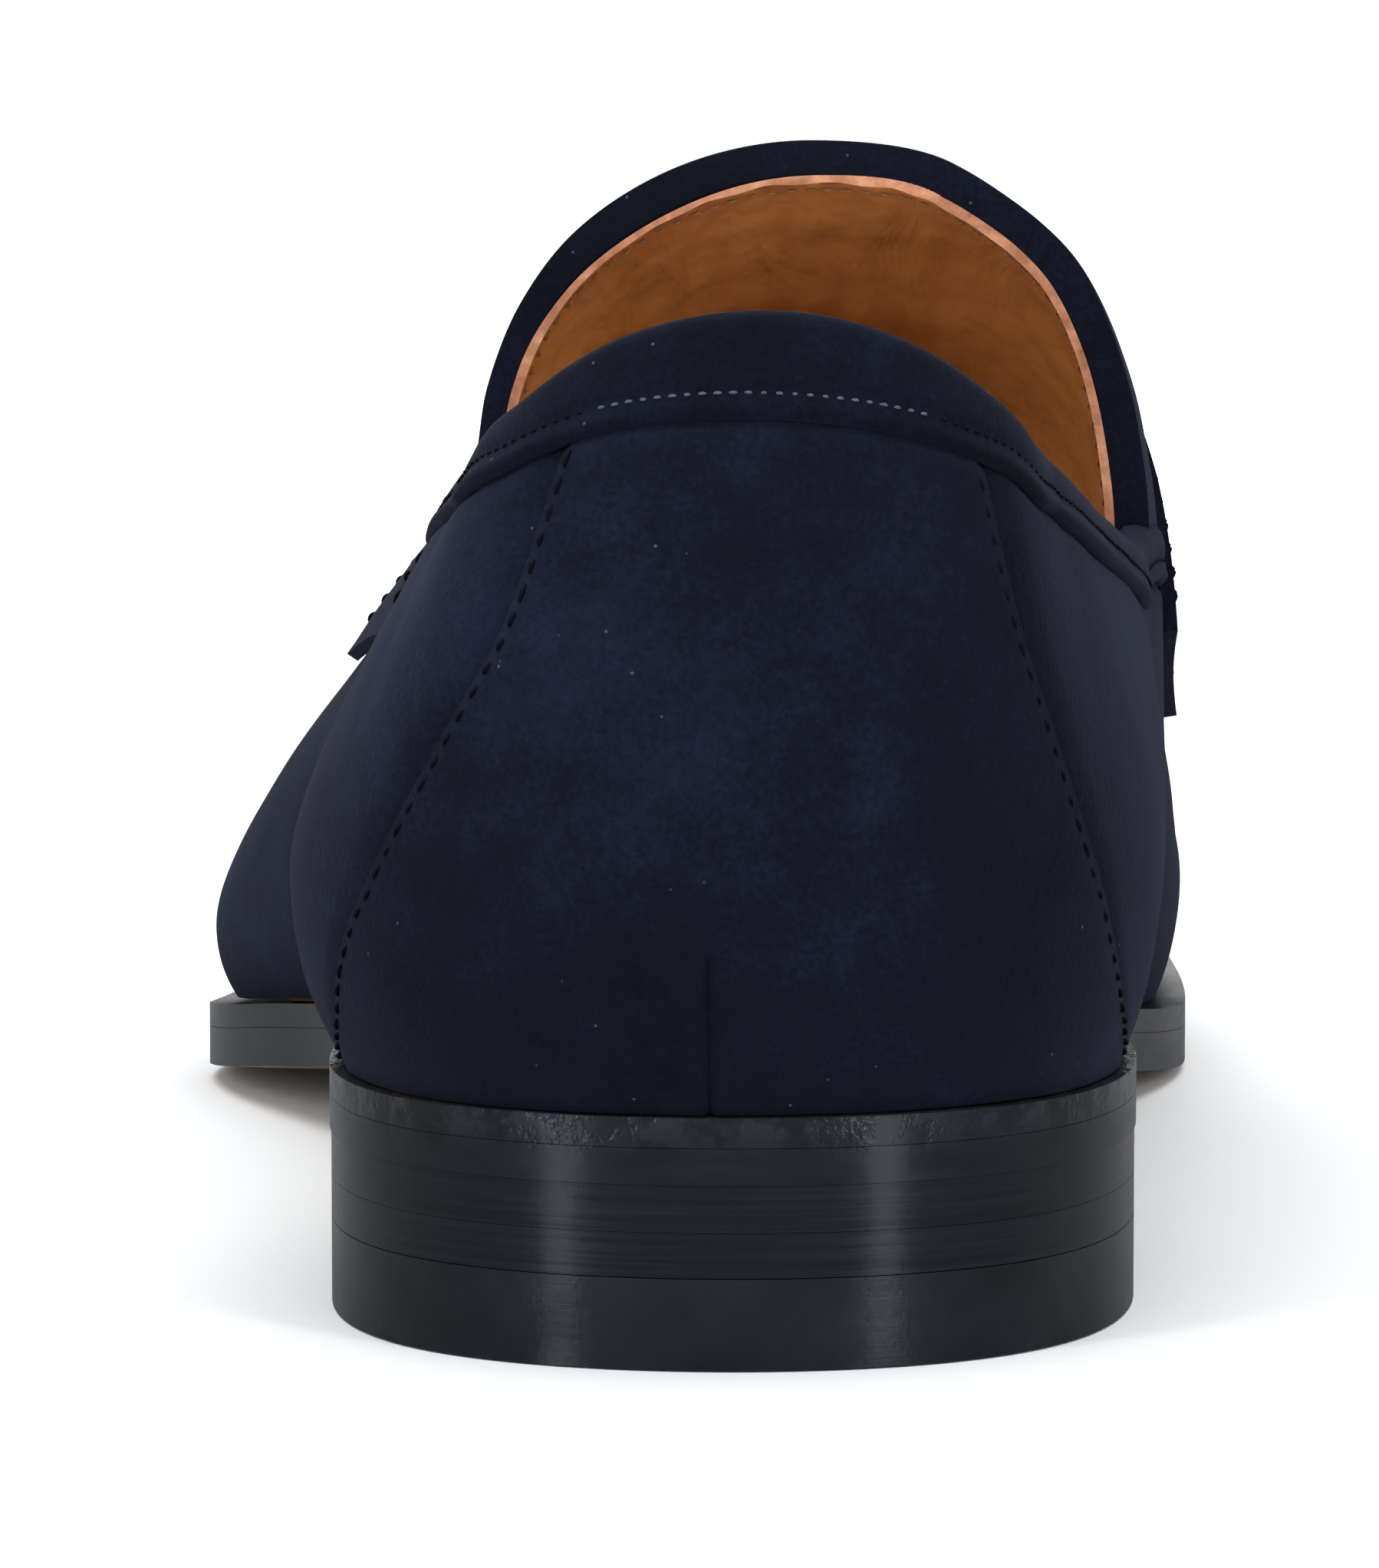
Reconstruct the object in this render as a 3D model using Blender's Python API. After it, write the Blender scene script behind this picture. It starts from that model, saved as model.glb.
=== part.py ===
"""Left penny loafer: suede upper, leather sole and stacked heel.

The toe points along -Y, the lateral side along +X and Z is up.  Lengths in this
file are in millimetres and become metres when a mesh is made.  A station is the
distance forward from the back of the heel.  The upper is one smooth last surface,
upper_point(u, t): u runs from the heel (0) to the toe (1) on the lateral side and
to -1 on the medial side, t climbs from the sole (0) to the instep ridge (1).
"""

import math

import bmesh
import bpy
import numpy as np
from mathutils import Vector

MM = 0.001
GAP = 0.3
JOINT = 0.6
APRON_MARGIN = 0.6
WELD = 0.002

# Sole in plan: (station, x) from the heel centre line.
SOLE_LENGTH = 300.0
HEEL_Y = 149.0
HEEL_X = -9.2
TOE_TIP_X = -4.0
SOLE_LATERAL = [(9, 23.5), (36, 34.5), (66, 34.8), (105, 35.8), (140, 43.5), (170, 56.2),
                (192, 61.4), (215, 58.0), (245, 49.5), (272, 34.5), (291, 17.5)]
SOLE_MEDIAL = [(9, -23.5), (36, -34.5), (66, -33.0), (105, -27.0), (140, -29.5), (170, -37.0),
               (195, -42.3), (212, -43.0), (240, -41.2), (268, -35.0), (290, -22.5)]

# Sole in side view: (station, height).
SEAT_HEIGHT = [(0, 20.8), (75, 20.8), (100, 18.4), (130, 14.9), (160, 11.4), (182, 8.8),
               (202, 7.4), (225, 8.0), (250, 10.0), (275, 13.4), (300, 18.0)]
EDGE_THICKNESS = [(0, 5.5), (80, 5.5), (130, 6.2), (170, 6.5), (300, 6.3)]
SOLE_CROWN = [(0, 0.0), (80, 0.0), (150, 0.6), (202, 0.9), (260, 0.7), (300, 0.2)]
WELT_THICKNESS = 2.5
WELT_WIDTH = 9.0
FILLER_THICKNESS = 2.2

# Heel block.
HEEL_BREAST = 73.0
BREAST_CURVE = 4.0
TOP_PIECE_HEIGHT = 7.5
NAIL_RADIUS = 1.1
NAIL_LENGTH = 5.4
NAIL_RING = 0.7
NAIL_COUNT = 5

# Upper: feather line, belly of the wall and instep ridge.
FEATHER_INSET = [(0, 1.2), (60, 1.4), (110, 2.2), (170, 3.0), (300, 3.2)]
BELLY_LATERAL = [(0, 3.2), (40, 4.6), (90, 3.4), (140, 2.6), (190, 2.4), (250, 2.0), (300, 1.8)]
BELLY_MEDIAL = [(0, 3.2), (40, 3.4), (90, 9.8), (130, 13.4), (165, 7.6), (200, 2.6), (300, 1.8)]
BELLY_RISE_LATERAL = [(0, 17.0), (60, 15.0), (120, 12.0), (190, 8.0), (250, 7.0), (300, 6.5)]
BELLY_RISE_MEDIAL = [(0, 17.0), (60, 19.0), (125, 26.0), (190, 14.0), (250, 8.5), (300, 6.5)]
BELLY_T = 0.22
RIDGE_X = [(40, -4.0), (70, -4.5), (112, -5.0), (150, -3.0), (200, 0.5), (240, -0.5), (268, -3.6)]
LEAN = [(0, -4.5), (50, -3.5), (110, 0.0)]
LEAN_HEIGHT = 65.0
RIDGE_HEIGHT = [(40, 113.0), (60, 112.0), (88, 106.0), (112, 99.5), (130, 92.0), (150, 82.0),
                (175, 69.0), (200, 58.0), (225, 49.5), (250, 43.5), (268, 40.0)]
RISE_LATERAL = [(0, 0.95), (8, 0.70), (20, 0.36), (36, 0.24), (60, 0.20), (95, 0.10),
                (130, 0.02), (155, 0.22), (178, 0.30), (200, 0.26), (260, 0.55), (300, 0.65)]
RISE_MEDIAL = [(0, 0.95), (8, 0.70), (20, 0.40), (36, 0.32), (60, 0.40), (95, 0.66),
               (125, 0.78), (160, 0.62), (200, 0.48), (260, 0.55), (300, 0.65)]
RUN_LATERAL = [(0, 0.45), (20, 0.10), (60, 0.16), (95, 0.70), (118, 0.94), (132, 0.84), (155, 0.62),
               (200, 0.50), (250, 0.52), (300, 0.55)]
RUN_MEDIAL = [(0, 0.45), (20, 0.10), (60, 0.16), (95, 0.74), (120, 0.97), (160, 0.66),
              (200, 0.48), (250, 0.52), (300, 0.55)]
TONGUE_REACH = [(78, 0.0), (98, 1.0), (136, 1.0), (162, 0.0)]
TONGUE_CREST_POWER = 12
TONGUE_SHOULDER_LATERAL = [(56, 0.0), (67, -2.7), (76, -0.5), (84, 1.2), (91, 2.0), (100, 2.0)]
TONGUE_SHOULDER_MEDIAL = [(66, 0.0), (76, 0.4), (84, 1.0), (88, 1.5), (92, 2.8), (97, 5.8)]
BACK_FOLD = 45.0
BACK_FOLD_END = 130.0
TOE_FOLD = 33.0
TOE_FOLD_START = 190.0

# Layers of the upper, as depths below the outer surface.
SUEDE = (0.0, 1.6)
STIFFENER = (2.3, 3.0)
LINING = (3.6, 4.6)
COLLAR = (-0.3, 3.0)
STRAP = (-2.0, -0.6)
FOLDED_EDGE_DEPTH = 3.0

# Seams: topline heights, moccasin seam in t, counter seam as (share of height, u).
TOPLINE_LATERAL = [(0, 85.8), (4, 81.6), (9, 76.8), (20, 73.2), (34, 70.8), (54, 67.6),
                   (93, 62.0), (120, 62.5), (150, 58.5)]
TOPLINE_MEDIAL = [(0, 85.8), (4, 82.6), (9, 77.2), (20, 73.2), (34, 69.8), (54, 66.5),
                  (93, 61.5), (120, 62.5), (150, 60.0)]
MOC_SEAM_T = [(185, 0.70), (220, 0.74), (260, 0.69), (300, 0.63)]
EDGE_STEPS = 24
COLLAR_HEIGHT = [(0, 8.2), (4, 7.0), (9, 5.9), (20, 5.8), (50, 5.2), (90, 5.0), (155, 5.0)]
COUNTER_SEAM_LATERAL = [(0, 0.205), (0.15, 0.172), (0.33, 0.151), (0.48, 0.134), (0.67, 0.099),
                        (0.8, 0.075), (1, 0.062)]
COUNTER_SEAM_MEDIAL = [(0, 0.222), (0.19, 0.182), (0.33, 0.163), (0.47, 0.150), (0.62, 0.131),
                       (0.8, 0.105), (1, 0.087)]
SIDE_SEAM_FOOT = 136.0
SIDE_SEAM_HEAD = 158.0
SIDE_SEAM_HEAD_T = 0.55
TONGUE_EDGE = 111.0
TONGUE_CORNER = 117.0
STRAP_REAR_RIDGE = 136.0
STRAP_REAR_END = 143.0
STRAP_FRONT_RIDGE = 163.0
STRAP_FRONT_END = 165.0
STRAP_END_T = {1: 0.54, -1: 0.33}
SLOT_STATION = 149.5
SLOT_HALF_LENGTH = 12.0
SLOT_HALF_WIDTH = 2.4
TOE_PUFF_START = 256.0
STIFFENER_END = 62.0
SHANK_SPAN = (48.0, 156.0)
SHANK_HALF_WIDTH = 7.0
SHANK_THICKNESS = 1.4

COLOURS = {
    "suede": ((0.012, 0.015, 0.035, 1), 0.95, 0.0),
    "lining": ((0.35, 0.15, 0.045, 1), 0.55, 0.0),
    "black_edge": ((0.012, 0.013, 0.016, 1), 0.35, 0.0),
    "sole_leather": ((0.42, 0.24, 0.11, 1), 0.5, 0.0),
    "rubber": ((0.014, 0.015, 0.018, 1), 0.6, 0.0),
    "brass": ((0.62, 0.45, 0.2, 1), 0.35, 1.0),
    "steel": ((0.5, 0.5, 0.52, 1), 0.4, 1.0),
    "cork": ((0.38, 0.22, 0.1, 1), 0.9, 0.0),
    "board": ((0.32, 0.2, 0.11, 1), 0.85, 0.0),
    "stiffener": ((0.75, 0.72, 0.66, 1), 0.8, 0.0),
}


def smooth_curve(stations):
    """Smooth curve through (position, value) stations that never overshoots them."""
    xs = [float(p[0]) for p in stations]
    ys = [float(p[1]) for p in stations]
    steps = [b - a for a, b in zip(xs, xs[1:])]
    rises = [(b - a) / h for a, b, h in zip(ys, ys[1:], steps)]
    slopes = [rises[0]]
    for before, after in zip(rises, rises[1:]):
        slopes.append(0.0 if before * after <= 0 else 2 * before * after / (before + after))
    slopes.append(rises[-1])

    def value(x):
        x = min(max(x, xs[0]), xs[-1])
        i = max(k for k in range(len(steps)) if xs[k] <= x)
        k = (x - xs[i]) / steps[i]
        start = (1 + 2 * k) * (1 - k) ** 2 * ys[i] + k * (1 - k) ** 2 * steps[i] * slopes[i]
        end = k * k * (3 - 2 * k) * ys[i + 1] - k * k * (1 - k) * steps[i] * slopes[i + 1]
        return start + end

    return value


def closed_spline(knots, values):
    """Smooth closed curve through the values, over a period of 2."""
    n = len(knots)
    steps = [(knots[(i + 1) % n] - knots[i]) % 2.0 for i in range(n)]
    matrix = np.zeros((n, n))
    bend = np.zeros(n)
    for i in range(n):
        before, after = steps[i - 1], steps[i]
        matrix[i, i - 1] = before
        matrix[i, i] = 2 * (before + after)
        matrix[i, (i + 1) % n] = after
        rise_after = (values[(i + 1) % n] - values[i]) / after
        rise_before = (values[i] - values[i - 1]) / before
        bend[i] = 6 * (rise_after - rise_before)
    bend = np.linalg.solve(matrix, bend)

    def value(u):
        i = max((k for k in range(n) if knots[k] <= u), default=n - 1)
        h = steps[i]
        k = ((u - knots[i]) % 2.0) / h
        line = (1 - k) * values[i] + k * values[(i + 1) % n]
        curve = ((1 - k) ** 3 - (1 - k)) * bend[i] + (k ** 3 - k) * bend[(i + 1) % n]
        return line + curve * h * h / 6

    return value


def u_at(station):
    """Lateral u of a station."""
    return math.acos(1 - 2 * station / SOLE_LENGTH) / math.pi


def station_at(u):
    return SOLE_LENGTH * (1 - math.cos(math.pi * u)) / 2


def wrap(u):
    """Brings u back into -1..1; both ends are the toe tip."""
    return (u + 1) % 2.0 - 1


def sole_outline():
    knots = [-u_at(s) for s, _ in reversed(SOLE_MEDIAL)] + [0.0]
    values = [x for _, x in reversed(SOLE_MEDIAL)] + [0.0]
    knots += [u_at(s) for s, _ in SOLE_LATERAL] + [1.0]
    values += [x for _, x in SOLE_LATERAL] + [TOE_TIP_X]
    return closed_spline(knots, values)


sole_x = sole_outline()
seat_height = smooth_curve(SEAT_HEIGHT)
edge_thickness = smooth_curve(EDGE_THICKNESS)
sole_crown = smooth_curve(SOLE_CROWN)
feather_inset = smooth_curve(FEATHER_INSET)
belly = {1: smooth_curve(BELLY_LATERAL), -1: smooth_curve(BELLY_MEDIAL)}
belly_rise = {1: smooth_curve(BELLY_RISE_LATERAL), -1: smooth_curve(BELLY_RISE_MEDIAL)}
ridge_x = smooth_curve(RIDGE_X)
ridge_height = smooth_curve(RIDGE_HEIGHT)
lean = smooth_curve(LEAN)
tongue_reach = smooth_curve(TONGUE_REACH)
tongue_shoulder = {1: smooth_curve(TONGUE_SHOULDER_LATERAL), -1: smooth_curve(TONGUE_SHOULDER_MEDIAL)}
handle_rise = {1: smooth_curve(RISE_LATERAL), -1: smooth_curve(RISE_MEDIAL)}
handle_run = {1: smooth_curve(RUN_LATERAL), -1: smooth_curve(RUN_MEDIAL)}
collar_height = smooth_curve(COLLAR_HEIGHT)
counter_seam = {1: smooth_curve(COUNTER_SEAM_LATERAL), -1: smooth_curve(COUNTER_SEAM_MEDIAL)}


def side_of(u):
    return 1 if u >= 0 else -1


def place(x, station, z):
    """Point from the heel centre line, a station and a height."""
    return Vector((HEEL_X + x, HEEL_Y - station, z))


def plan_point(u, inset):
    """Point of the sole outline moved inwards, and the outward direction there."""
    u = wrap(u)
    step = 1e-4
    here = place(sole_x(u), station_at(u), 0)
    ahead = place(sole_x(wrap(u + step)), station_at(u + step), 0)
    behind = place(sole_x(wrap(u - step)), station_at(u - step), 0)
    run = (ahead - behind).normalized()
    out = Vector((-run.y, run.x, 0))
    return here - out * inset, out


def ridge_station(station):
    """Station where the wall that starts at this one reaches the ridge."""
    if station < BACK_FOLD_END:
        return station + BACK_FOLD * (1 - station / BACK_FOLD_END) ** 2
    if station > TOE_FOLD_START:
        share = (station - TOE_FOLD_START) / (SOLE_LENGTH - TOE_FOLD_START)
        return station - TOE_FOLD * share ** 2
    return station


def bezier(points, k):
    """Point on a Bezier curve of any degree."""
    while len(points) > 1:
        points = [a.lerp(b, k) for a, b in zip(points, points[1:])]
    return points[0]


def upper_point(u, t):
    """Outer surface of the upper."""
    u = wrap(u)
    station = station_at(u)
    side = side_of(u)
    foot, out = plan_point(u, feather_inset(station))
    foot.z = seat_height(station) + GAP
    widest = foot + out * belly[side](station)
    widest.z = foot.z + belly_rise[side](station)
    if t < BELLY_T:
        below = Vector((widest.x, widest.y, foot.z + 0.45 * (widest.z - foot.z)))
        return bezier([foot, below, widest], max(t, 0.0) / BELLY_T)
    top = ridge_station(station)
    ridge = place(ridge_x(top), top, ridge_height(top))
    rise = Vector((0, 0, handle_rise[side](station) * (ridge.z - widest.z)))
    run = Vector((widest.x - ridge.x, widest.y - ridge.y, 0)) * handle_run[side](station)
    point = bezier([widest, widest + rise, ridge + run, ridge], (t - BELLY_T) / (1 - BELLY_T))
    shoulder = tongue_reach(station) * tongue_shoulder[side](point.z)
    share = (point.z - widest.z) / (ridge.z - widest.z)
    point.x += lean(station) * ((point.z - widest.z) / LEAN_HEIGHT) ** 1.5
    point.x += shoulder * (1 - min(share, 1.0) ** TONGUE_CREST_POWER)
    return point


def upper_frame(u, t):
    """Outward normal, and surface speeds along u and t."""
    t = min(max(t, 0.002), 0.98)
    step = 1e-3
    along = (upper_point(u + step, t) - upper_point(u - step, t)) / (2 * step)
    up = (upper_point(u, t + step) - upper_point(u, t - step)) / (2 * step)
    return up.cross(along).normalized(), along.length, up.length


def layer_point(u, t, depth):
    """Point at a depth below the outer surface."""
    return upper_point(u, t) - upper_frame(u, t)[0] * depth


def t_at_height(u, height):
    """t where the outer surface passes a height."""
    low, high = BELLY_T, 1.0
    for _ in range(30):
        middle = (low + high) / 2
        if upper_point(u, middle).z < height:
            low = middle
        else:
            high = middle
    return low


def lower_by(u, t, distance):
    """t that lies a distance further down the wall."""
    return t - distance / upper_frame(u, t)[2]


def opening_edge(side, topline):
    """Edge line of the opening and, ahead of the throat, the moccasin seam."""
    height = smooth_curve(topline)
    steps = [k * topline[-1][0] / EDGE_STEPS for k in range(EDGE_STEPS + 1)]
    line = [(s, t_at_height(side * u_at(s), height(s))) for s in steps]
    return smooth_curve(line + MOC_SEAM_T)


edge_line = {1: opening_edge(1, TOPLINE_LATERAL), -1: opening_edge(-1, TOPLINE_MEDIAL)}


def edge_t(u):
    return edge_line[side_of(wrap(u))](station_at(u))


def collar_foot_t(u):
    """Lower edge of the collar band."""
    return lower_by(u, edge_t(u), collar_height(station_at(u)))


def side_seam(side, top_t, b):
    """u of the slanting seam between quarter and vamp, at a share of a panel height."""
    u = u_at(SIDE_SEAM_FOOT)
    for _ in range(6):
        share = b * top_t(side * u) / SIDE_SEAM_HEAD_T
        u = u_at(SIDE_SEAM_FOOT + (SIDE_SEAM_HEAD - SIDE_SEAM_FOOT) * share)
    return u


def material(slot):
    made = bpy.data.materials.get(slot) or bpy.data.materials.new(slot)
    colour, roughness, metallic = COLOURS[slot]
    made.use_nodes = True
    shader = made.node_tree.nodes["Principled BSDF"]
    shader.inputs["Base Color"].default_value = colour
    shader.inputs["Roughness"].default_value = roughness
    shader.inputs["Metallic"].default_value = metallic
    made.diffuse_color = colour
    return made


def shell(name, slot, outer, inner, along, across, open_edges=()):
    """Closed body between two grids of points; open edges are joined to themselves."""
    mesh = bmesh.new()

    def grid(point):
        return [[mesh.verts.new(point(i / along, j / across) * MM) for j in range(across + 1)]
                for i in range(along + 1)]

    top, bottom = grid(outer), grid(inner)
    for i in range(along):
        for j in range(across):
            mesh.faces.new((top[i][j], top[i + 1][j], top[i + 1][j + 1], top[i][j + 1]))
            mesh.faces.new((bottom[i][j], bottom[i][j + 1], bottom[i + 1][j + 1], bottom[i + 1][j]))
    for row, edge in ((0, "start"), (along, "end")):
        if edge not in open_edges:
            for j in range(across):
                mesh.faces.new((top[row][j], top[row][j + 1], bottom[row][j + 1], bottom[row][j]))
    for column, edge in ((0, "left"), (across, "right")):
        if edge not in open_edges:
            for i in range(along):
                mesh.faces.new((top[i][column], top[i + 1][column],
                                bottom[i + 1][column], bottom[i][column]))
    bmesh.ops.remove_doubles(mesh, verts=mesh.verts, dist=WELD * MM)
    bmesh.ops.dissolve_degenerate(mesh, edges=mesh.edges, dist=WELD * MM)
    bmesh.ops.recalc_face_normals(mesh, faces=mesh.faces)
    data = bpy.data.meshes.new(name)
    mesh.to_mesh(data)
    mesh.free()
    made = bpy.data.objects.new(name, data)
    made.data.materials.append(material(slot))
    bpy.context.scene.collection.objects.link(made)
    return made


def wall_panel(name, slot, domain, depths, along, across, open_edges=()):
    """Panel of the upper over a domain(a, b) -> (u, t), between two depths."""
    def outer(a, b):
        return layer_point(*domain(a, b), depths[0])

    def inner(a, b):
        return layer_point(*domain(a, b), depths[1])

    return shell(name, slot, outer, inner, along, across, open_edges)


def mix(a, b, k):
    return a + (b - a) * k


def counter_domain(top_t, margin):
    """Back counter: from the medial seam round the heel to the lateral seam."""
    def domain(a, b):
        side = 1 if a >= 0.5 else -1
        seam = counter_seam[side](b) - margin / upper_frame(side * 0.12, 0.4)[1]
        u = seam * (2 * a - 1)
        return u, mix(0.0, top_t(u), b)
    return domain


def quarter_domain(side, top_t, margin):
    """Quarter: from the counter seam forward to the side seam."""
    def domain(a, b):
        rear = counter_seam[side](b)
        front = side_seam(side, top_t, b) - margin / upper_frame(side * 0.5, 0.4)[1]
        u = side * mix(rear, front, a)
        return u, mix(0.0, top_t(u), b)
    return domain


def vamp_domain(margin):
    """Vamp: from the lateral side seam round the toe to the medial side seam."""
    def top_t(u):
        return lower_by(u, edge_t(u), margin)

    def domain(a, b):
        u = wrap(mix(side_seam(1, top_t, b), 2 - side_seam(-1, top_t, b), a))
        return u, b * top_t(u)
    return domain


def apron_domain(rear_edge):
    """Apron and tongue: across the ridge, from the tongue edge to the toe."""
    def domain(a, b):
        across = 2 * b - 1
        u = mix(u_at(rear_edge(across)), 1.0, a) * (1 if across >= 0 else -1)
        return u, mix(1.0, lower_by(u, edge_t(u), -APRON_MARGIN), abs(across))
    return domain


def tongue_rear(across):
    return mix(TONGUE_EDGE, TONGUE_CORNER, across ** 2)


def collar_domain(a, b):
    """Collar band: from the medial throat round the heel to the lateral throat."""
    u = mix(-1, 1, a) * u_at(SIDE_SEAM_HEAD - 6)
    return u, mix(lower_by(u, collar_foot_t(u), -GAP), lower_by(u, edge_t(u), GAP), b)


def strap_domain(a, b):
    """Saddle strap: across the instep from the lateral end to the medial end."""
    across = 2 * b - 1
    rear = mix(STRAP_REAR_RIDGE, STRAP_REAR_END, abs(across) ** 1.6)
    front = mix(STRAP_FRONT_RIDGE, STRAP_FRONT_END, abs(across) ** 1.6)
    side = side_of(across)
    return u_at(mix(rear, front, a)) * side, mix(1.0, STRAP_END_T[side], abs(across))


def quarter_top_t(u):
    return lower_by(u, collar_foot_t(u), JOINT)


def lining_top_t(u):
    return lower_by(u, edge_t(u), 0.8)


def flatten(body):
    """Joins neighbouring faces that lie in one plane."""
    mesh = bmesh.new()
    mesh.from_mesh(body.data)
    bmesh.ops.dissolve_limit(mesh, angle_limit=0.001, verts=mesh.verts, edges=mesh.edges)
    mesh.to_mesh(body.data)
    mesh.free()


def cut(body, tool):
    """Takes the tool away from the body."""
    step = body.modifiers.new("cut", "BOOLEAN")
    step.operation = "DIFFERENCE"
    step.solver = "EXACT"
    step.object = tool
    tool.hide_render = True
    tool.display_type = "WIRE"


def build_upper():
    wall_panel("back_counter_panel", "suede", counter_domain(quarter_top_t, JOINT), SUEDE, 22, 10)
    for side, name in ((1, "lateral"), (-1, "medial")):
        wall_panel("quarter_" + name, "suede", quarter_domain(side, quarter_top_t, JOINT),
                   SUEDE, 24, 10)
    wall_panel("vamp", "suede", vamp_domain(JOINT), SUEDE, 40, 8)
    wall_panel("collar_band", "suede", collar_domain, COLLAR, 56, 2)
    domain = apron_domain(tongue_rear)

    def under_apron(a, b):
        depth = FOLDED_EDGE_DEPTH if a < 0.03 else SUEDE[1]
        return layer_point(*domain(a, b), depth)

    shell("apron", "suede", lambda a, b: layer_point(*domain(a, b), SUEDE[0]), under_apron,
          30, 20, ("end",))
    strap = wall_panel("saddle_strap", "suede", strap_domain, STRAP, 6, 30)
    cut(strap, slot_cutter())


def slot_cutter():
    """Slot shape: a flat diamond with softened ends, standing through the strap."""
    centre = place(ridge_x(SLOT_STATION), SLOT_STATION, ridge_height(SLOT_STATION))

    def wall(z):
        def point(a, b):
            reach = math.sin(math.pi * a) ** 0.7
            x = -SLOT_HALF_LENGTH * math.cos(math.pi * a)
            y = SLOT_HALF_WIDTH * reach * (2 * b - 1)
            return centre + Vector((x, y, z))
        return point

    return shell("cutter_slot", "suede", wall(12.0), wall(-12.0), 10, 1, ("start", "end"))


def build_linings():
    wall_panel("heel_lining", "lining", counter_domain(lining_top_t, JOINT), LINING, 14, 6)
    for side, name in ((1, "lateral"), (-1, "medial")):
        wall_panel("quarter_lining_" + name, "lining",
                   quarter_domain(side, lining_top_t, 0.9), LINING, 14, 6)
    wall_panel("vamp_lining", "lining", vamp_domain(0.8), LINING, 32, 5)
    wall_panel("apron_lining", "lining", apron_domain(tongue_rear), LINING, 24, 18, ("end",))
    build_stiffeners()


def build_stiffeners():
    """Hidden stiffeners between suede and lining at the heel and the toe."""
    def heel(a, b):
        u = mix(-1, 1, a) * u_at(STIFFENER_END)
        return u, mix(0.02, lower_by(u, collar_foot_t(u), 1.5), b)

    def toe(a, b):
        across = 2 * b - 1
        u = mix(u_at(TOE_PUFF_START), 1.0, a) * (1 if across >= 0 else -1)
        return u, mix(1.0, 0.02, abs(across))

    wall_panel("heel_stiffener", "stiffener", heel, STIFFENER, 28, 6)
    wall_panel("toe_puff", "stiffener", toe, STIFFENER, 8, 12, ("end",))


def sole_under(point, station, half_width, middle):
    """Underside of the outsole, fuller along the middle than at the edges."""
    share = min(abs(point.x - middle) / max(half_width, 1.0), 1.0)
    edge = seat_height(station) - edge_thickness(station)
    return edge - sole_crown(station) * (1 - share ** 2)


def slab(name, slot, span, inset, heights, along, across, open_edges=("start", "end")):
    """Flat layer under the foot; heights(point, station, half width, middle) -> (top, under)."""
    def row(level):
        def point(a, b):
            u = mix(u_at(span[0]), u_at(span[1]), a)
            lateral, _ = plan_point(u, inset)
            medial, _ = plan_point(-u, inset)
            spot = medial.lerp(lateral, b)
            station = HEEL_Y - spot.y
            middle = (lateral.x + medial.x) / 2
            half_width = abs(lateral.x - medial.x) / 2
            spot.z = heights(spot, station, half_width, middle)[level]
            return spot
        return point

    return shell(name, slot, row(0), row(1), along, across, open_edges)


def build_sole():
    def outsole(point, station, half_width, middle):
        top = seat_height(station) - WELT_THICKNESS - GAP
        return top, sole_under(point, station, half_width, middle)

    def filler(point, station, half_width, middle):
        top = seat_height(station) - GAP
        return top, top - FILLER_THICKNESS + GAP

    def insole(point, station, half_width, middle):
        return seat_height(station) + 2.8, seat_height(station) + GAP

    def sock(point, station, half_width, middle):
        return seat_height(station) + 4.3, seat_height(station) + 3.1

    whole = (0.0, SOLE_LENGTH)
    slab("outsole", "sole_leather", whole, 0.0, outsole, 40, 6)
    cork = slab("cork_filler", "cork", whole, WELT_WIDTH + 0.4, filler, 28, 4)
    slab("insole_board", "board", whole, 8.0, insole, 28, 4)
    slab("sock_liner", "lining", whole, 7.6, sock, 28, 4)
    build_welt()
    build_shank()
    cut(cork, shank_body("cutter_shank", 0.4, 6.0))


def build_welt():
    """Welt ring round the whole sole."""
    def ring(level):
        def point(a, b):
            spot, _ = plan_point(mix(-1, 1, a), mix(0.0, WELT_WIDTH, b))
            spot.z = seat_height(HEEL_Y - spot.y) - level * WELT_THICKNESS
            return spot
        return point

    shell("welt", "black_edge", ring(0), ring(1), 72, 1, ("start", "end"))


def shank_body(name, margin, height):
    """Steel strip in the waist, following the rise of the sole."""
    def face(level):
        def point(a, b):
            station = mix(SHANK_SPAN[0] - margin, SHANK_SPAN[1] + margin, a)
            taper = 0.55 + 0.45 * math.sin(math.pi * min(max(a, 0.08), 0.92))
            lateral, _ = plan_point(u_at(station), 0)
            medial, _ = plan_point(-u_at(station), 0)
            x = (lateral.x + medial.x) / 2 + (SHANK_HALF_WIDTH * taper + margin) * (2 * b - 1)
            middle = seat_height(station) - GAP - (FILLER_THICKNESS - GAP) / 2
            return Vector((x, HEEL_Y - station, middle + level * height / 2))
        return point

    return shell(name, "steel", face(1), face(-1), 16, 1)


def build_shank():
    shank_body("steel_shank", 0.0, SHANK_THICKNESS)


def heel_layer(name, slot, under, top):
    """One layer of the heel, from the back to the slightly hollow breast."""
    def level(z):
        def point(a, b):
            hollow = BREAST_CURVE * (1 - (2 * b - 1) ** 2)
            u = u_at((HEEL_BREAST - hollow) * math.sin(a * math.pi / 2) ** 2)
            lateral, _ = plan_point(u, 0.2)
            medial, _ = plan_point(-u, 0.2)
            spot = medial.lerp(lateral, b)
            spot.z = z
            return spot
        return point

    layer = shell(name, slot, level(top), level(under), 12, 6, ("start",))
    flatten(layer)
    return layer


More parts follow.
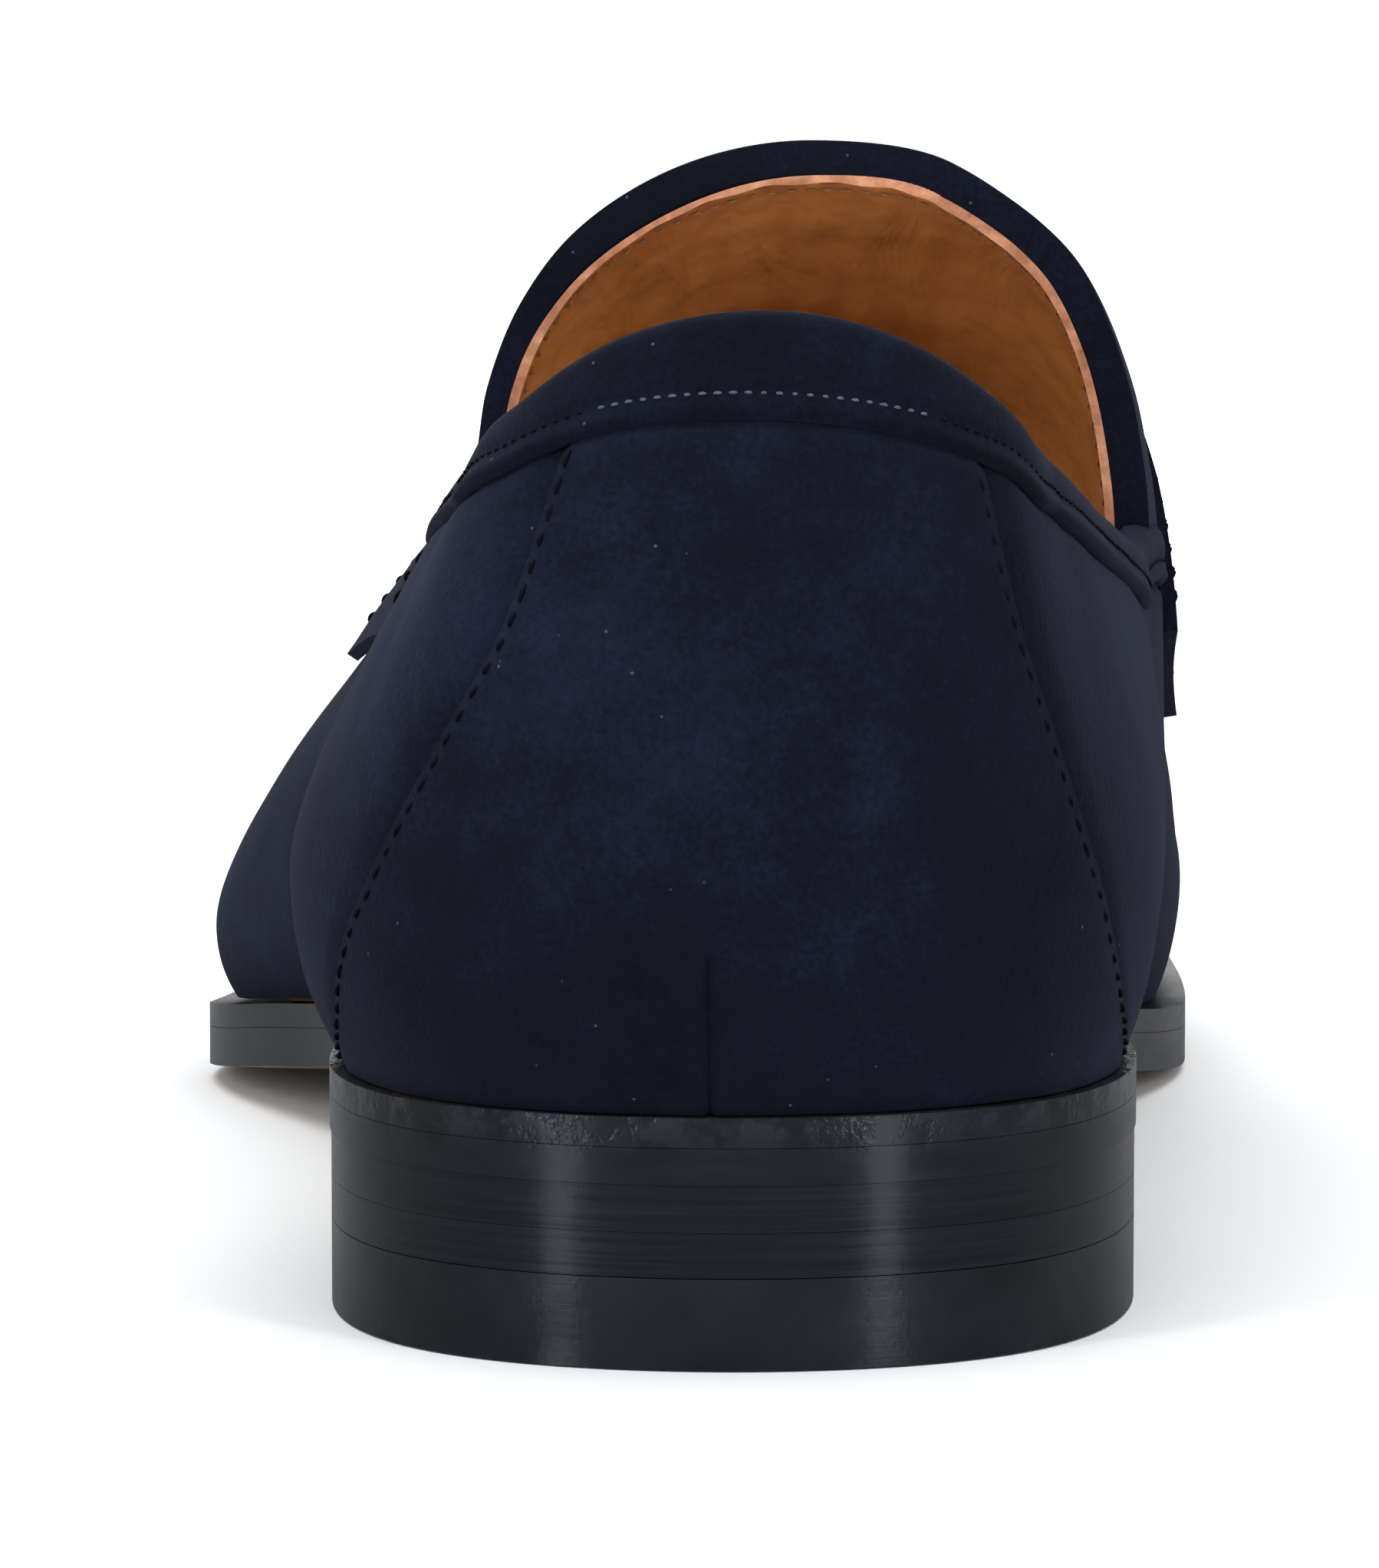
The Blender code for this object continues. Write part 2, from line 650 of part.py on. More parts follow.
def nail_spots():
    """Nail positions on an arc round the heel."""
    for k in range(NAIL_COUNT):
        angle = math.radians(mix(-80, 80, k / (NAIL_COUNT - 1)))
        radius = NAIL_RING * SOLE_LATERAL[1][1]
        yield place(radius * math.sin(angle), 36 - radius * math.cos(angle), 0)


def pin(name, slot, spot, radius, low, high):
    def disc(z):
        def point(a, b):
            reach = radius * (1 - b)
            angle = 2 * math.pi * (a + 0.02)
            return spot + Vector((reach * math.cos(angle), reach * math.sin(angle), z))
        return point

    return shell(name, slot, disc(high), disc(low), 12, 1, ("start", "end", "right"))


def build_heel():
    top = seat_height(0) - edge_thickness(0) - GAP
    middle = (TOP_PIECE_HEIGHT + top) / 2
    heel_layer("heel_lift_upper", "black_edge", middle + GAP / 2, top)
    heel_layer("heel_lift_lower", "black_edge", TOP_PIECE_HEIGHT + GAP, middle - GAP / 2)
    piece = heel_layer("heel_top_piece", "rubber", 0.0, TOP_PIECE_HEIGHT)
    for k, spot in enumerate(nail_spots(), start=1):
        pin("heel_nail_%d" % k, "brass", spot, NAIL_RADIUS, 0.1, NAIL_LENGTH)
        cut(piece, pin("cutter_nail_%d" % k, "brass", spot, NAIL_RADIUS + GAP, -2.0,
                       NAIL_LENGTH + GAP))


def clear_scene():
    for old in list(bpy.data.objects):
        bpy.data.objects.remove(old, do_unlink=True)


clear_scene()
build_upper()
build_linings()
build_sole()
build_heel()
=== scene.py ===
"""Looks of the left penny loafer, drawn in the frame of its CAD model.

Lengths are in millimetres until a mesh is made.  The upper is the CAD last
surface upper(u, t): u runs from the heel (0) to the toe (1) on the lateral side
and to -1 on the medial side, t climbs from the sole (0) to the ridge (1).
"""

import math

import bmesh
import bpy
import numpy as np
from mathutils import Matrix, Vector


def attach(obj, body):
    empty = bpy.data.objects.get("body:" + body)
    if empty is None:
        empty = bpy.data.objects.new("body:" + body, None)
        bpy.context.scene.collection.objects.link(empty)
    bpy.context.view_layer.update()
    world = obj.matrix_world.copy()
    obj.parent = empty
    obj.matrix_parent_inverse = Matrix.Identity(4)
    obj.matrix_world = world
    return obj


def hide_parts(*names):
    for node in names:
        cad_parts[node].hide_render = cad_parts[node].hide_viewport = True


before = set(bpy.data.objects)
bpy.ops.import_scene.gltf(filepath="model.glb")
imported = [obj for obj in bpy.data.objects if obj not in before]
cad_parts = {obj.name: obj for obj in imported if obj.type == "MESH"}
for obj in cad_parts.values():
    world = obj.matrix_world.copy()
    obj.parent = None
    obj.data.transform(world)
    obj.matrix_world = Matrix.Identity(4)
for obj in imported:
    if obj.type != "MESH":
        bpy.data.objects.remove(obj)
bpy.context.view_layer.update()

MM = 0.001
GAP = 0.3

# The last, as in the CAD model: sole outline, side profile, walls and ridge.
SOLE_LENGTH = 300.0
HEEL_Y = 149.0
HEEL_X = -9.2
TOE_TIP_X = -4.0
SOLE_LATERAL = [(9, 23.5), (36, 34.5), (66, 34.8), (105, 35.8), (140, 43.5), (170, 56.2),
                (192, 61.4), (215, 58.0), (245, 49.5), (272, 34.5), (291, 17.5)]
SOLE_MEDIAL = [(9, -23.5), (36, -34.5), (66, -33.0), (105, -27.0), (140, -29.5), (170, -37.0),
               (195, -42.3), (212, -43.0), (240, -41.2), (268, -35.0), (290, -22.5)]
SEAT_HEIGHT = [(0, 20.8), (75, 20.8), (100, 18.4), (130, 14.9), (160, 11.4), (182, 8.8),
               (202, 7.4), (225, 8.0), (250, 10.0), (275, 13.4), (300, 18.0)]
EDGE_THICKNESS = [(0, 5.5), (80, 5.5), (130, 6.2), (170, 6.5), (300, 6.3)]
SOLE_CROWN = [(0, 0.0), (80, 0.0), (150, 0.6), (202, 0.9), (260, 0.7), (300, 0.2)]
FEATHER_INSET = [(0, 1.2), (60, 1.4), (110, 2.2), (170, 3.0), (300, 3.2)]
BELLY = ([(0, 3.2), (40, 4.6), (90, 3.4), (140, 2.6), (190, 2.4), (250, 2.0), (300, 1.8)],
         [(0, 3.2), (40, 3.4), (90, 9.8), (130, 13.4), (165, 7.6), (200, 2.6), (300, 1.8)])
BELLY_RISE = ([(0, 17.0), (60, 15.0), (120, 12.0), (190, 8.0), (250, 7.0), (300, 6.5)],
              [(0, 17.0), (60, 19.0), (125, 26.0), (190, 14.0), (250, 8.5), (300, 6.5)])
BELLY_T = 0.22
RIDGE_X = [(40, -4.0), (70, -4.5), (112, -5.0), (150, -3.0), (200, 0.5), (240, -0.5), (268, -3.6)]
LEAN = [(0, -4.5), (50, -3.5), (110, 0.0)]
LEAN_HEIGHT = 65.0
LEAN_POWER = 1.5
WALL_BULGE = 0.45
RIDGE_HEIGHT = [(40, 113.0), (60, 112.0), (88, 106.0), (112, 99.5), (130, 92.0), (150, 82.0),
                (175, 69.0), (200, 58.0), (225, 49.5), (250, 43.5), (268, 40.0)]
RISE = ([(0, 0.95), (8, 0.70), (20, 0.36), (36, 0.24), (60, 0.20), (95, 0.10), (130, 0.02),
         (155, 0.22), (178, 0.30), (200, 0.26), (260, 0.55), (300, 0.65)],
        [(0, 0.95), (8, 0.70), (20, 0.40), (36, 0.32), (60, 0.40), (95, 0.66), (125, 0.78),
         (160, 0.62), (200, 0.48), (260, 0.55), (300, 0.65)])
RUN = ([(0, 0.45), (20, 0.10), (60, 0.16), (95, 0.70), (118, 0.94), (132, 0.84), (155, 0.62),
        (200, 0.50), (250, 0.52), (300, 0.55)],
       [(0, 0.45), (20, 0.10), (60, 0.16), (95, 0.74), (120, 0.97), (160, 0.66),
        (200, 0.48), (250, 0.52), (300, 0.55)])
TONGUE_REACH = [(78, 0.0), (98, 1.0), (136, 1.0), (162, 0.0)]
TONGUE_CREST_POWER = 12
TONGUE_SHOULDER = ([(56, 0.0), (67, -2.7), (76, -0.5), (84, 1.2), (91, 2.0), (100, 2.0)],
                   [(66, 0.0), (76, 0.4), (84, 1.0), (88, 1.5), (92, 2.8), (97, 5.8)])
BACK_FOLD = 45.0
BACK_FOLD_END = 130.0
TOE_FOLD = 33.0
TOE_FOLD_START = 190.0

# Seams, as in the CAD model.
TOPLINE = ([(0, 85.8), (4, 81.6), (9, 76.8), (20, 73.2), (34, 70.8), (54, 67.6), (93, 62.0),
            (120, 62.5), (150, 58.5)],
           [(0, 85.8), (4, 82.6), (9, 77.2), (20, 73.2), (34, 69.8), (54, 66.5), (93, 61.5),
            (120, 62.5), (150, 60.0)])
MOC_SEAM_T = [(185, 0.70), (220, 0.74), (260, 0.69), (300, 0.63)]
EDGE_STEPS = 24
COLLAR_HEIGHT = [(0, 8.2), (4, 7.0), (9, 5.9), (20, 5.8), (50, 5.2), (90, 5.0), (155, 5.0)]
COUNTER_SEAM = ([(0, 0.205), (0.15, 0.172), (0.33, 0.151), (0.48, 0.134), (0.67, 0.099),
                 (0.8, 0.075), (1, 0.062)],
                [(0, 0.222), (0.19, 0.182), (0.33, 0.163), (0.47, 0.150), (0.62, 0.131),
                 (0.8, 0.105), (1, 0.087)])
SIDE_SEAM_FOOT = 136.0
SIDE_SEAM_HEAD = 158.0
SIDE_SEAM_HEAD_T = 0.55
TONGUE_EDGE = 111.0
TONGUE_CORNER = 117.0
STRAP_REAR = (136.0, 143.0)
STRAP_FRONT = (163.0, 165.0)
STRAP_END_T = {1: 0.54, -1: 0.33}
SLOT_STATION = 149.5
HEEL_BREAST = 73.0
BREAST_CURVE = 4.0

# Panels: depths lie below the last surface, so a negative one stands proud of it.
REAR_MM_PER_U = 260.0
FRONT_MM_PER_U = 460.0
WAVES = [(34, 0.16), (11, 0.05)]
PANEL_BEVEL = 0.45
BEVEL_ANGLE = math.radians(50)
UNDER_BAND = 1.5
TUCK_DEPTH = 0.75
TUCK_RANGE = (-1.2, 0.3)
COUNTER_PROUD = 0.35
COUNTER_BACK = 1.1
QUARTER_BACK = 1.8
QUARTER_DIP = 0.9
VAMP_FACE = 0.12
SUEDE_BACK = 1.6
BACK_SEAM_X = HEEL_X + 0.4
BACK_SEAM_WIDTH = 0.3
BACK_SEAM_DEPTH = 0.55
BACK_SEAM_TOP = (33.5, 35.0)
RIM_DEPTH = 3.2
RIM_THINNING = 0.95
LINING_FACE = 3.25
LINING_BACK = 4.4
LINING_DROP = 1.2
TONGUE_LINING = 0.85
TONGUE_HALF_WIDTH = 30.0

# Moccasin seam: an elliptical ridge, gathered between its whip stitches.
MOC_START = 165.4
MOC_PITCH = 3.3
MOC_WIDTH = 1.1
MOC_HEIGHT = 0.62
MOC_GATHER = 0.16
MOC_THREAD = 0.26
WHIP_ARC = 1.25
WHIP_RISE = 0.78
WHIP_SLANT = 0.35

# Stitch rows: depth, pitch, share of the pitch under thread and thread radius.
THREAD_SIDES = 7
COLLAR_ROW = (-0.5, 1.25, 0.55, 0.15)
COUNTER_ROW = (-0.36, 2.3, 0.66, 0.2)
STRAP_ROW = (-1.95, 2.4, 0.66, 0.2)
TONGUE_ROW_PITCH = (1.9, 0.6, 0.16)
COLLAR_ROW_CLIMB = 2.1
TONGUE_ROW_INSET = 1.5
LIGHT_STITCHES = (2.6, 3.4)

# Collar band: (drop or climb along the surface, depth) round its section.
COLLAR_FOOT = [(0.25, 0.9), (0.0, 0.35), (0.05, -0.2), (0.3, -0.58), (0.75, -0.72), (1.1, -0.6),
               (1.6, -0.52), (2.1, -0.42), (2.5, -0.52), (3.1, -0.62)]
COLLAR_TOP = [(1.2, -0.55), (0.4, -0.35), (-0.2, 0.05), (-0.5, 0.7), (-0.6, 1.5), (-0.5, 2.3),
              (0.1, 2.95), (1.4, 3.2)]
COLLAR_BACK = (3.2, 2.2)
COLLAR_WAVE = (16, 0.08)

# Saddle strap.
STRAP_FACE = -1.65
STRAP_BACK = -0.25
STRAP_PAD = 0.35
STRAP_PAD_RIM = 5.0
STRAP_WIDTH = 27.0
STRAP_LENGTH = 110.0
STRAP_WAVE = (22, 0.12)
STRAP_ROWS = ((0.085, "rear"), (0.915, "front"))
SLOT_HALF_LENGTH = 12.5
SLOT_HALF_WIDTH = 2.6
SLOT_REACH = 14.0

# Sole and heel, as heights and insets.
WELT = 2.45
WELT_JOINT = 2.5
SOCK_INSET = 6.6
SOCK_LOW = 3.1
SOCK_HIGH = 4.3
SOCK_CUP = 0.8
HEEL_INSET = 0.15
TOP_PIECE = (0.15, 7.62)
LOWER_LIFT = (7.7, 11.36)
UPPER_LIFT = (11.4, 15.26)
# Heights of the heel's top rim: scuffed wear, its lighter colour in part a painted highlight.
SCUFF_AND_HIGHLIGHT_LOW = 17.0
SCUFF_AND_HIGHLIGHT_HIGH = 20.6

# Camera: behind the heel, a little above the shoe and to its medial side.
CAMERA_DISTANCE = 600.0
CAMERA_HEIGHT = 100.0
CAMERA_ASIDE = 47.6
CAMERA_LENS = 172.0
CAMERA_TARGET = (HEEL_X + 2.0, HEEL_Y, 48.0)
SHOE_TURN = math.radians(2.3)

# Stage and lamps, in metres and watts.
FLOOR_REACH = 14.0
FLOOR_GLOW = (0.4, 1.5)
FLOOR_TONE = 0.8
REFLECTED_FLOOR = 0.2
STUDIO_LIGHT = 0.42
STRIP_ANGLE = math.radians(45)
STRIP_DISTANCE = 1.7
STRIP_HEIGHT = 0.62
STRIP_AIM = 0.3
STRIP_SIZE = (0.3, 1.2)
STRIP_POWER = 17
STRIP_COLOUR = (0.86, 0.94, 1.0)


def smooth_curve(stations):
    """Smooth curve through (position, value) stations that never overshoots them."""
    xs, ys = np.array(stations, dtype=float).T
    steps = np.diff(xs)
    rises = np.diff(ys) / steps
    before, after = rises[:-1], rises[1:]
    same = before * after > 0
    inner = np.where(same, 2 * before * after / np.where(same, before + after, 1), 0)
    slopes = np.concatenate([rises[:1], inner, rises[-1:]])

    def value(x):
        x = np.clip(x, xs[0], xs[-1])
        i = np.clip(np.searchsorted(xs, x, side="right") - 1, 0, len(steps) - 1)
        k = (x - xs[i]) / steps[i]
        start = (1 + 2 * k) * (1 - k) ** 2 * ys[i] + k * (1 - k) ** 2 * steps[i] * slopes[i]
        end = k * k * (3 - 2 * k) * ys[i + 1] - k * k * (1 - k) * steps[i] * slopes[i + 1]
        return start + end

    return value


def closed_spline(knots, values):
    """Smooth closed curve through the values, over a period of 2."""
    knots, values = np.array(knots), np.array(values)
    n = len(knots)
    steps = (np.roll(knots, -1) - knots) % 2.0
    matrix = np.zeros((n, n))
    for i in range(n):
        matrix[i, i - 1] = steps[i - 1]
        matrix[i, i] = 2 * (steps[i - 1] + steps[i])
        matrix[i, (i + 1) % n] = steps[i]
    rises = (np.roll(values, -1) - values) / steps
    bend = np.linalg.solve(matrix, 6 * (rises - np.roll(rises, 1)))

    def value(u):
        i = (np.searchsorted(knots, u, side="right") - 1) % n
        after = (i + 1) % n
        k = ((u - knots[i]) % 2.0) / steps[i]
        curve = ((1 - k) ** 3 - (1 - k)) * bend[i] + (k ** 3 - k) * bend[after]
        return (1 - k) * values[i] + k * values[after] + curve * steps[i] ** 2 / 6

    return value


def both_sides(pair):
    """Curve of (u, station) from a lateral and a medial list of stations."""
    lateral, medial = smooth_curve(pair[0]), smooth_curve(pair[1])
    return lambda u, x: np.where(u >= 0, lateral(x), medial(x))


def u_at(station):
    return np.arccos(1 - 2 * np.asarray(station, dtype=float) / SOLE_LENGTH) / math.pi


def station_at(u):
    return SOLE_LENGTH * (1 - np.cos(math.pi * u)) / 2


def wrap(u):
    return (np.asarray(u, dtype=float) + 1) % 2.0 - 1


def mix(a, b, k):
    return a + (b - a) * k


def smoothstep(low, high, x):
    k = np.clip((x - low) / (high - low), 0, 1)
    return k * k * (3 - 2 * k)


sole_x = closed_spline(
    [-float(u_at(s)) for s, _ in reversed(SOLE_MEDIAL)] + [0.0]
    + [float(u_at(s)) for s, _ in SOLE_LATERAL] + [1.0],
    [x for _, x in reversed(SOLE_MEDIAL)] + [0.0] + [x for _, x in SOLE_LATERAL] + [TOE_TIP_X])
seat_height = smooth_curve(SEAT_HEIGHT)
edge_thickness = smooth_curve(EDGE_THICKNESS)
sole_crown = smooth_curve(SOLE_CROWN)
feather_inset = smooth_curve(FEATHER_INSET)
belly = both_sides(BELLY)
belly_rise = both_sides(BELLY_RISE)
ridge_x = smooth_curve(RIDGE_X)
ridge_height = smooth_curve(RIDGE_HEIGHT)
lean = smooth_curve(LEAN)
rise_of = both_sides(RISE)
run_of = both_sides(RUN)
tongue_reach = smooth_curve(TONGUE_REACH)
tongue_shoulder = both_sides(TONGUE_SHOULDER)
collar_height = smooth_curve(COLLAR_HEIGHT)
counter_seam = both_sides(COUNTER_SEAM)


def xyz(x, y, z):
    return np.stack(np.broadcast_arrays(x, y, z), axis=-1).astype(float)


def unit(v):
    return v / np.maximum(np.linalg.norm(v, axis=-1, keepdims=True), 1e-12)


def plan(u, inset, z=0.0):
    """Points of the sole outline moved inwards, at height z, and the outward direction."""
    u = wrap(u)
    step = 1e-4
    ahead, behind = u + step, u - step
    run = unit(xyz(sole_x(wrap(ahead)) - sole_x(wrap(behind)),
                   station_at(behind) - station_at(ahead), 0))
    out = xyz(-run[..., 1], run[..., 0], 0)
    edge = xyz(HEEL_X + sole_x(u), HEEL_Y - station_at(u), z)
    return edge - out * np.asarray(inset)[..., None], out


def ridge_station(s):
    rear = s + BACK_FOLD * (1 - np.minimum(s, BACK_FOLD_END) / BACK_FOLD_END) ** 2
    share = np.maximum(s - TOE_FOLD_START, 0) / (SOLE_LENGTH - TOE_FOLD_START)
    return rear - TOE_FOLD * share ** 2


def upper(u, t):
    """Outer surface of the upper."""
    u, t = np.broadcast_arrays(wrap(u), np.asarray(t, dtype=float))
    s = station_at(u)
    foot, out = plan(u, feather_inset(s))
    foot[..., 2] = seat_height(s) + GAP
    widest = foot + out * belly(u, s)[..., None]
    widest[..., 2] = foot[..., 2] + belly_rise(u, s)
    below = widest.copy()
    below[..., 2] = mix(foot[..., 2], widest[..., 2], WALL_BULGE)
    k = (np.clip(t, 0, BELLY_T) / BELLY_T)[..., None]
    low = foot * (1 - k) ** 2 + below * 2 * k * (1 - k) + widest * k * k
    top = ridge_station(s)
    ridge = xyz(HEEL_X + ridge_x(top), HEEL_Y - top, ridge_height(top))
    above = widest.copy()
    above[..., 2] += rise_of(u, s) * (ridge - widest)[..., 2]
    beside = ridge + (widest - ridge) * run_of(u, s)[..., None]
    beside[..., 2] = ridge[..., 2]
    k = ((np.maximum(t, BELLY_T) - BELLY_T) / (1 - BELLY_T))[..., None]
    high = (widest * (1 - k) ** 3 + above * 3 * k * (1 - k) ** 2
            + beside * 3 * k * k * (1 - k) + ridge * k ** 3)
    climb = np.maximum(high[..., 2] - widest[..., 2], 0) / LEAN_HEIGHT
    share = np.clip(climb * LEAN_HEIGHT / (ridge - widest)[..., 2], 0, 1)
    shoulder = tongue_reach(s) * tongue_shoulder(u, high[..., 2]) * (1 - share ** TONGUE_CREST_POWER)
    high[..., 0] += lean(s) * climb ** LEAN_POWER + shoulder
    return np.where((t < BELLY_T)[..., None], low, high)


def upper_frame(u, t):
    """Outward normal and the surface speed along t."""
    t = np.clip(t, 0.002, 0.98)
    step = 1e-3
    along = (upper(u + step, t) - upper(u - step, t)) / (2 * step)
    up = (upper(u, t + step) - upper(u, t - step)) / (2 * step)
    return unit(np.cross(up, along)), np.linalg.norm(up, axis=-1)


def layer(u, t, depth):
    """Points at a depth below the outer surface."""
    u, t = np.broadcast_arrays(np.asarray(u, dtype=float), np.asarray(t, dtype=float))
    return upper(u, t) - upper_frame(u, t)[0] * np.asarray(depth, dtype=float)[..., None]


def lower_by(u, t, distance):
    return t - distance / upper_frame(u, t)[1]


def t_at_height(u, height):
    low, high = np.full(u.shape, BELLY_T), np.ones(u.shape)
    for _ in range(30):
        middle = (low + high) / 2
        under = upper(u, middle)[..., 2] < height
        low, high = np.where(under, middle, low), np.where(under, high, middle)
    return low


def opening_edge(side, topline):
    steps = np.linspace(0, topline[-1][0], EDGE_STEPS + 1)
    line = t_at_height(side * u_at(steps), smooth_curve(topline)(steps))
    return smooth_curve(list(zip(steps, line)) + MOC_SEAM_T)


edge_lines = (opening_edge(1, TOPLINE[0]), opening_edge(-1, TOPLINE[1]))


def edge_t(u):
    """Topline of the opening and, ahead of the throat, the moccasin seam."""
    u = wrap(u)
    s = station_at(u)
    return np.where(u >= 0, edge_lines[0](s), edge_lines[1](s))


def collar_foot_t(u):
    return lower_by(u, edge_t(u), collar_height(station_at(u)))


def side_seam(side, top_t, b):
    u = np.full(np.shape(b), float(u_at(SIDE_SEAM_FOOT)))
    for _ in range(8):
        share = b * top_t(side * u) / SIDE_SEAM_HEAD_T
        u = u_at(SIDE_SEAM_FOOT + (SIDE_SEAM_HEAD - SIDE_SEAM_FOOT) * share)
    return u


# ---------------------------------------------------------------- mesh helpers


def new_object(name, points, faces, material, second=None, second_faces=()):
    """Mesh object from points in millimetres, welded and facing outwards."""
    data = bpy.data.meshes.new(name)
    data.from_pydata((np.asarray(points).reshape(-1, 3) * MM).tolist(), [], faces)
    data.materials.append(material)
    if second is not None:
        data.materials.append(second)
        for k in second_faces:
            data.polygons[k].material_index = 1
    mesh = bmesh.new()
    mesh.from_mesh(data)
    bmesh.ops.remove_doubles(mesh, verts=mesh.verts, dist=0.002 * MM)
    bmesh.ops.dissolve_degenerate(mesh, edges=mesh.edges, dist=0.001 * MM)
    bmesh.ops.recalc_face_normals(mesh, faces=mesh.faces)
    for face in mesh.faces:
        face.smooth = True
    mesh.to_mesh(data)
    mesh.free()
    made = bpy.data.objects.new(name, data)
    bpy.context.scene.collection.objects.link(made)
    return made


def quads(rows, columns, start=0):
    """Quad faces of a grid of (rows + 1) by (columns + 1) points."""
    width = columns + 1
    return [(start + i * width + j, start + (i + 1) * width + j,
             start + (i + 1) * width + j + 1, start + i * width + j + 1)
            for i in range(rows) for j in range(columns)]


def shell(name, top, bottom, material, open_edges=(), walls=None, under=None):
    """Closed body between two grids; walls or the underside may take another material."""
    rows, columns = top.shape[0] - 1, top.shape[1] - 1
    width, size = columns + 1, (rows + 1) * (columns + 1)
    faces = quads(rows, columns)
    first_under = len(faces)
    faces += quads(rows, columns, size)
    first_wall = len(faces)
    for row, edge in ((0, "start"), (rows, "end")):
        if edge not in open_edges:
            faces += [(row * width + j, row * width + j + 1,
                       size + row * width + j + 1, size + row * width + j) for j in range(columns)]
    for column, edge in ((0, "left"), (columns, "right")):
        if edge not in open_edges:
            faces += [(i * width + column, (i + 1) * width + column,
                       size + (i + 1) * width + column, size + i * width + column)
                      for i in range(rows)]
    points = np.concatenate([top.reshape(-1, 3), bottom.reshape(-1, 3)])
    if walls is not None:
        return new_object(name, points, faces, material, walls, range(first_wall, len(faces)))
    if under is not None:
        return new_object(name, points, faces, material, under, range(first_under, first_wall))
    return new_object(name, points, faces, material)


def sweep(name, rings, material):
    """Tube through rings of points, shaped (rings, points, 3), with flat ends."""
    count, size = rings.shape[0], rings.shape[1]
    faces = []
    for i in range(count - 1):
        a, b = i * size, (i + 1) * size
        faces += [(a + j, b + j, b + (j + 1) % size, a + (j + 1) % size) for j in range(size)]
    faces += [tuple(range(size)), tuple(range((count - 1) * size, count * size))]
    return new_object(name, rings, faces, material)


def soften(made, width, segments=3):
    """Rounds the sharp edges of a panel."""
    step = made.modifiers.new("edges", "BEVEL")
    step.limit_method = "ANGLE"
    step.angle_limit = BEVEL_ANGLE
    step.width = width * MM
    step.segments = segments
    step.use_clamp_overlap = True
    step.harden_normals = False
    return made


def crisp(made):
    """Keeps broad faces flat-shaded up to their rounded edges."""
    step = made.modifiers.new("normals", "WEIGHTED_NORMAL")
    step.weight = 100
    step.keep_sharp = False
    return made


def wander(points, size, seed):
    """Gentle waves over a surface, between -1 and 1, with features of about a size in mm."""
    rng = np.random.default_rng(seed)
    total = np.zeros(points.shape[:-1])
    for _ in range(7):
        direction = unit(rng.normal(size=3)) * 2 * math.pi / (size * rng.uniform(0.7, 1.6))
        total += np.sin(points @ direction + rng.uniform(0, 2 * math.pi))
    return total / 4


def keep(made, slot, *nodes):
    """Rides on the shoe and stands for CAD nodes; the slot argument is not used."""
    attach(made, "root")
    if nodes:
        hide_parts(*nodes)


# ------------------------------------------------------------------- materials


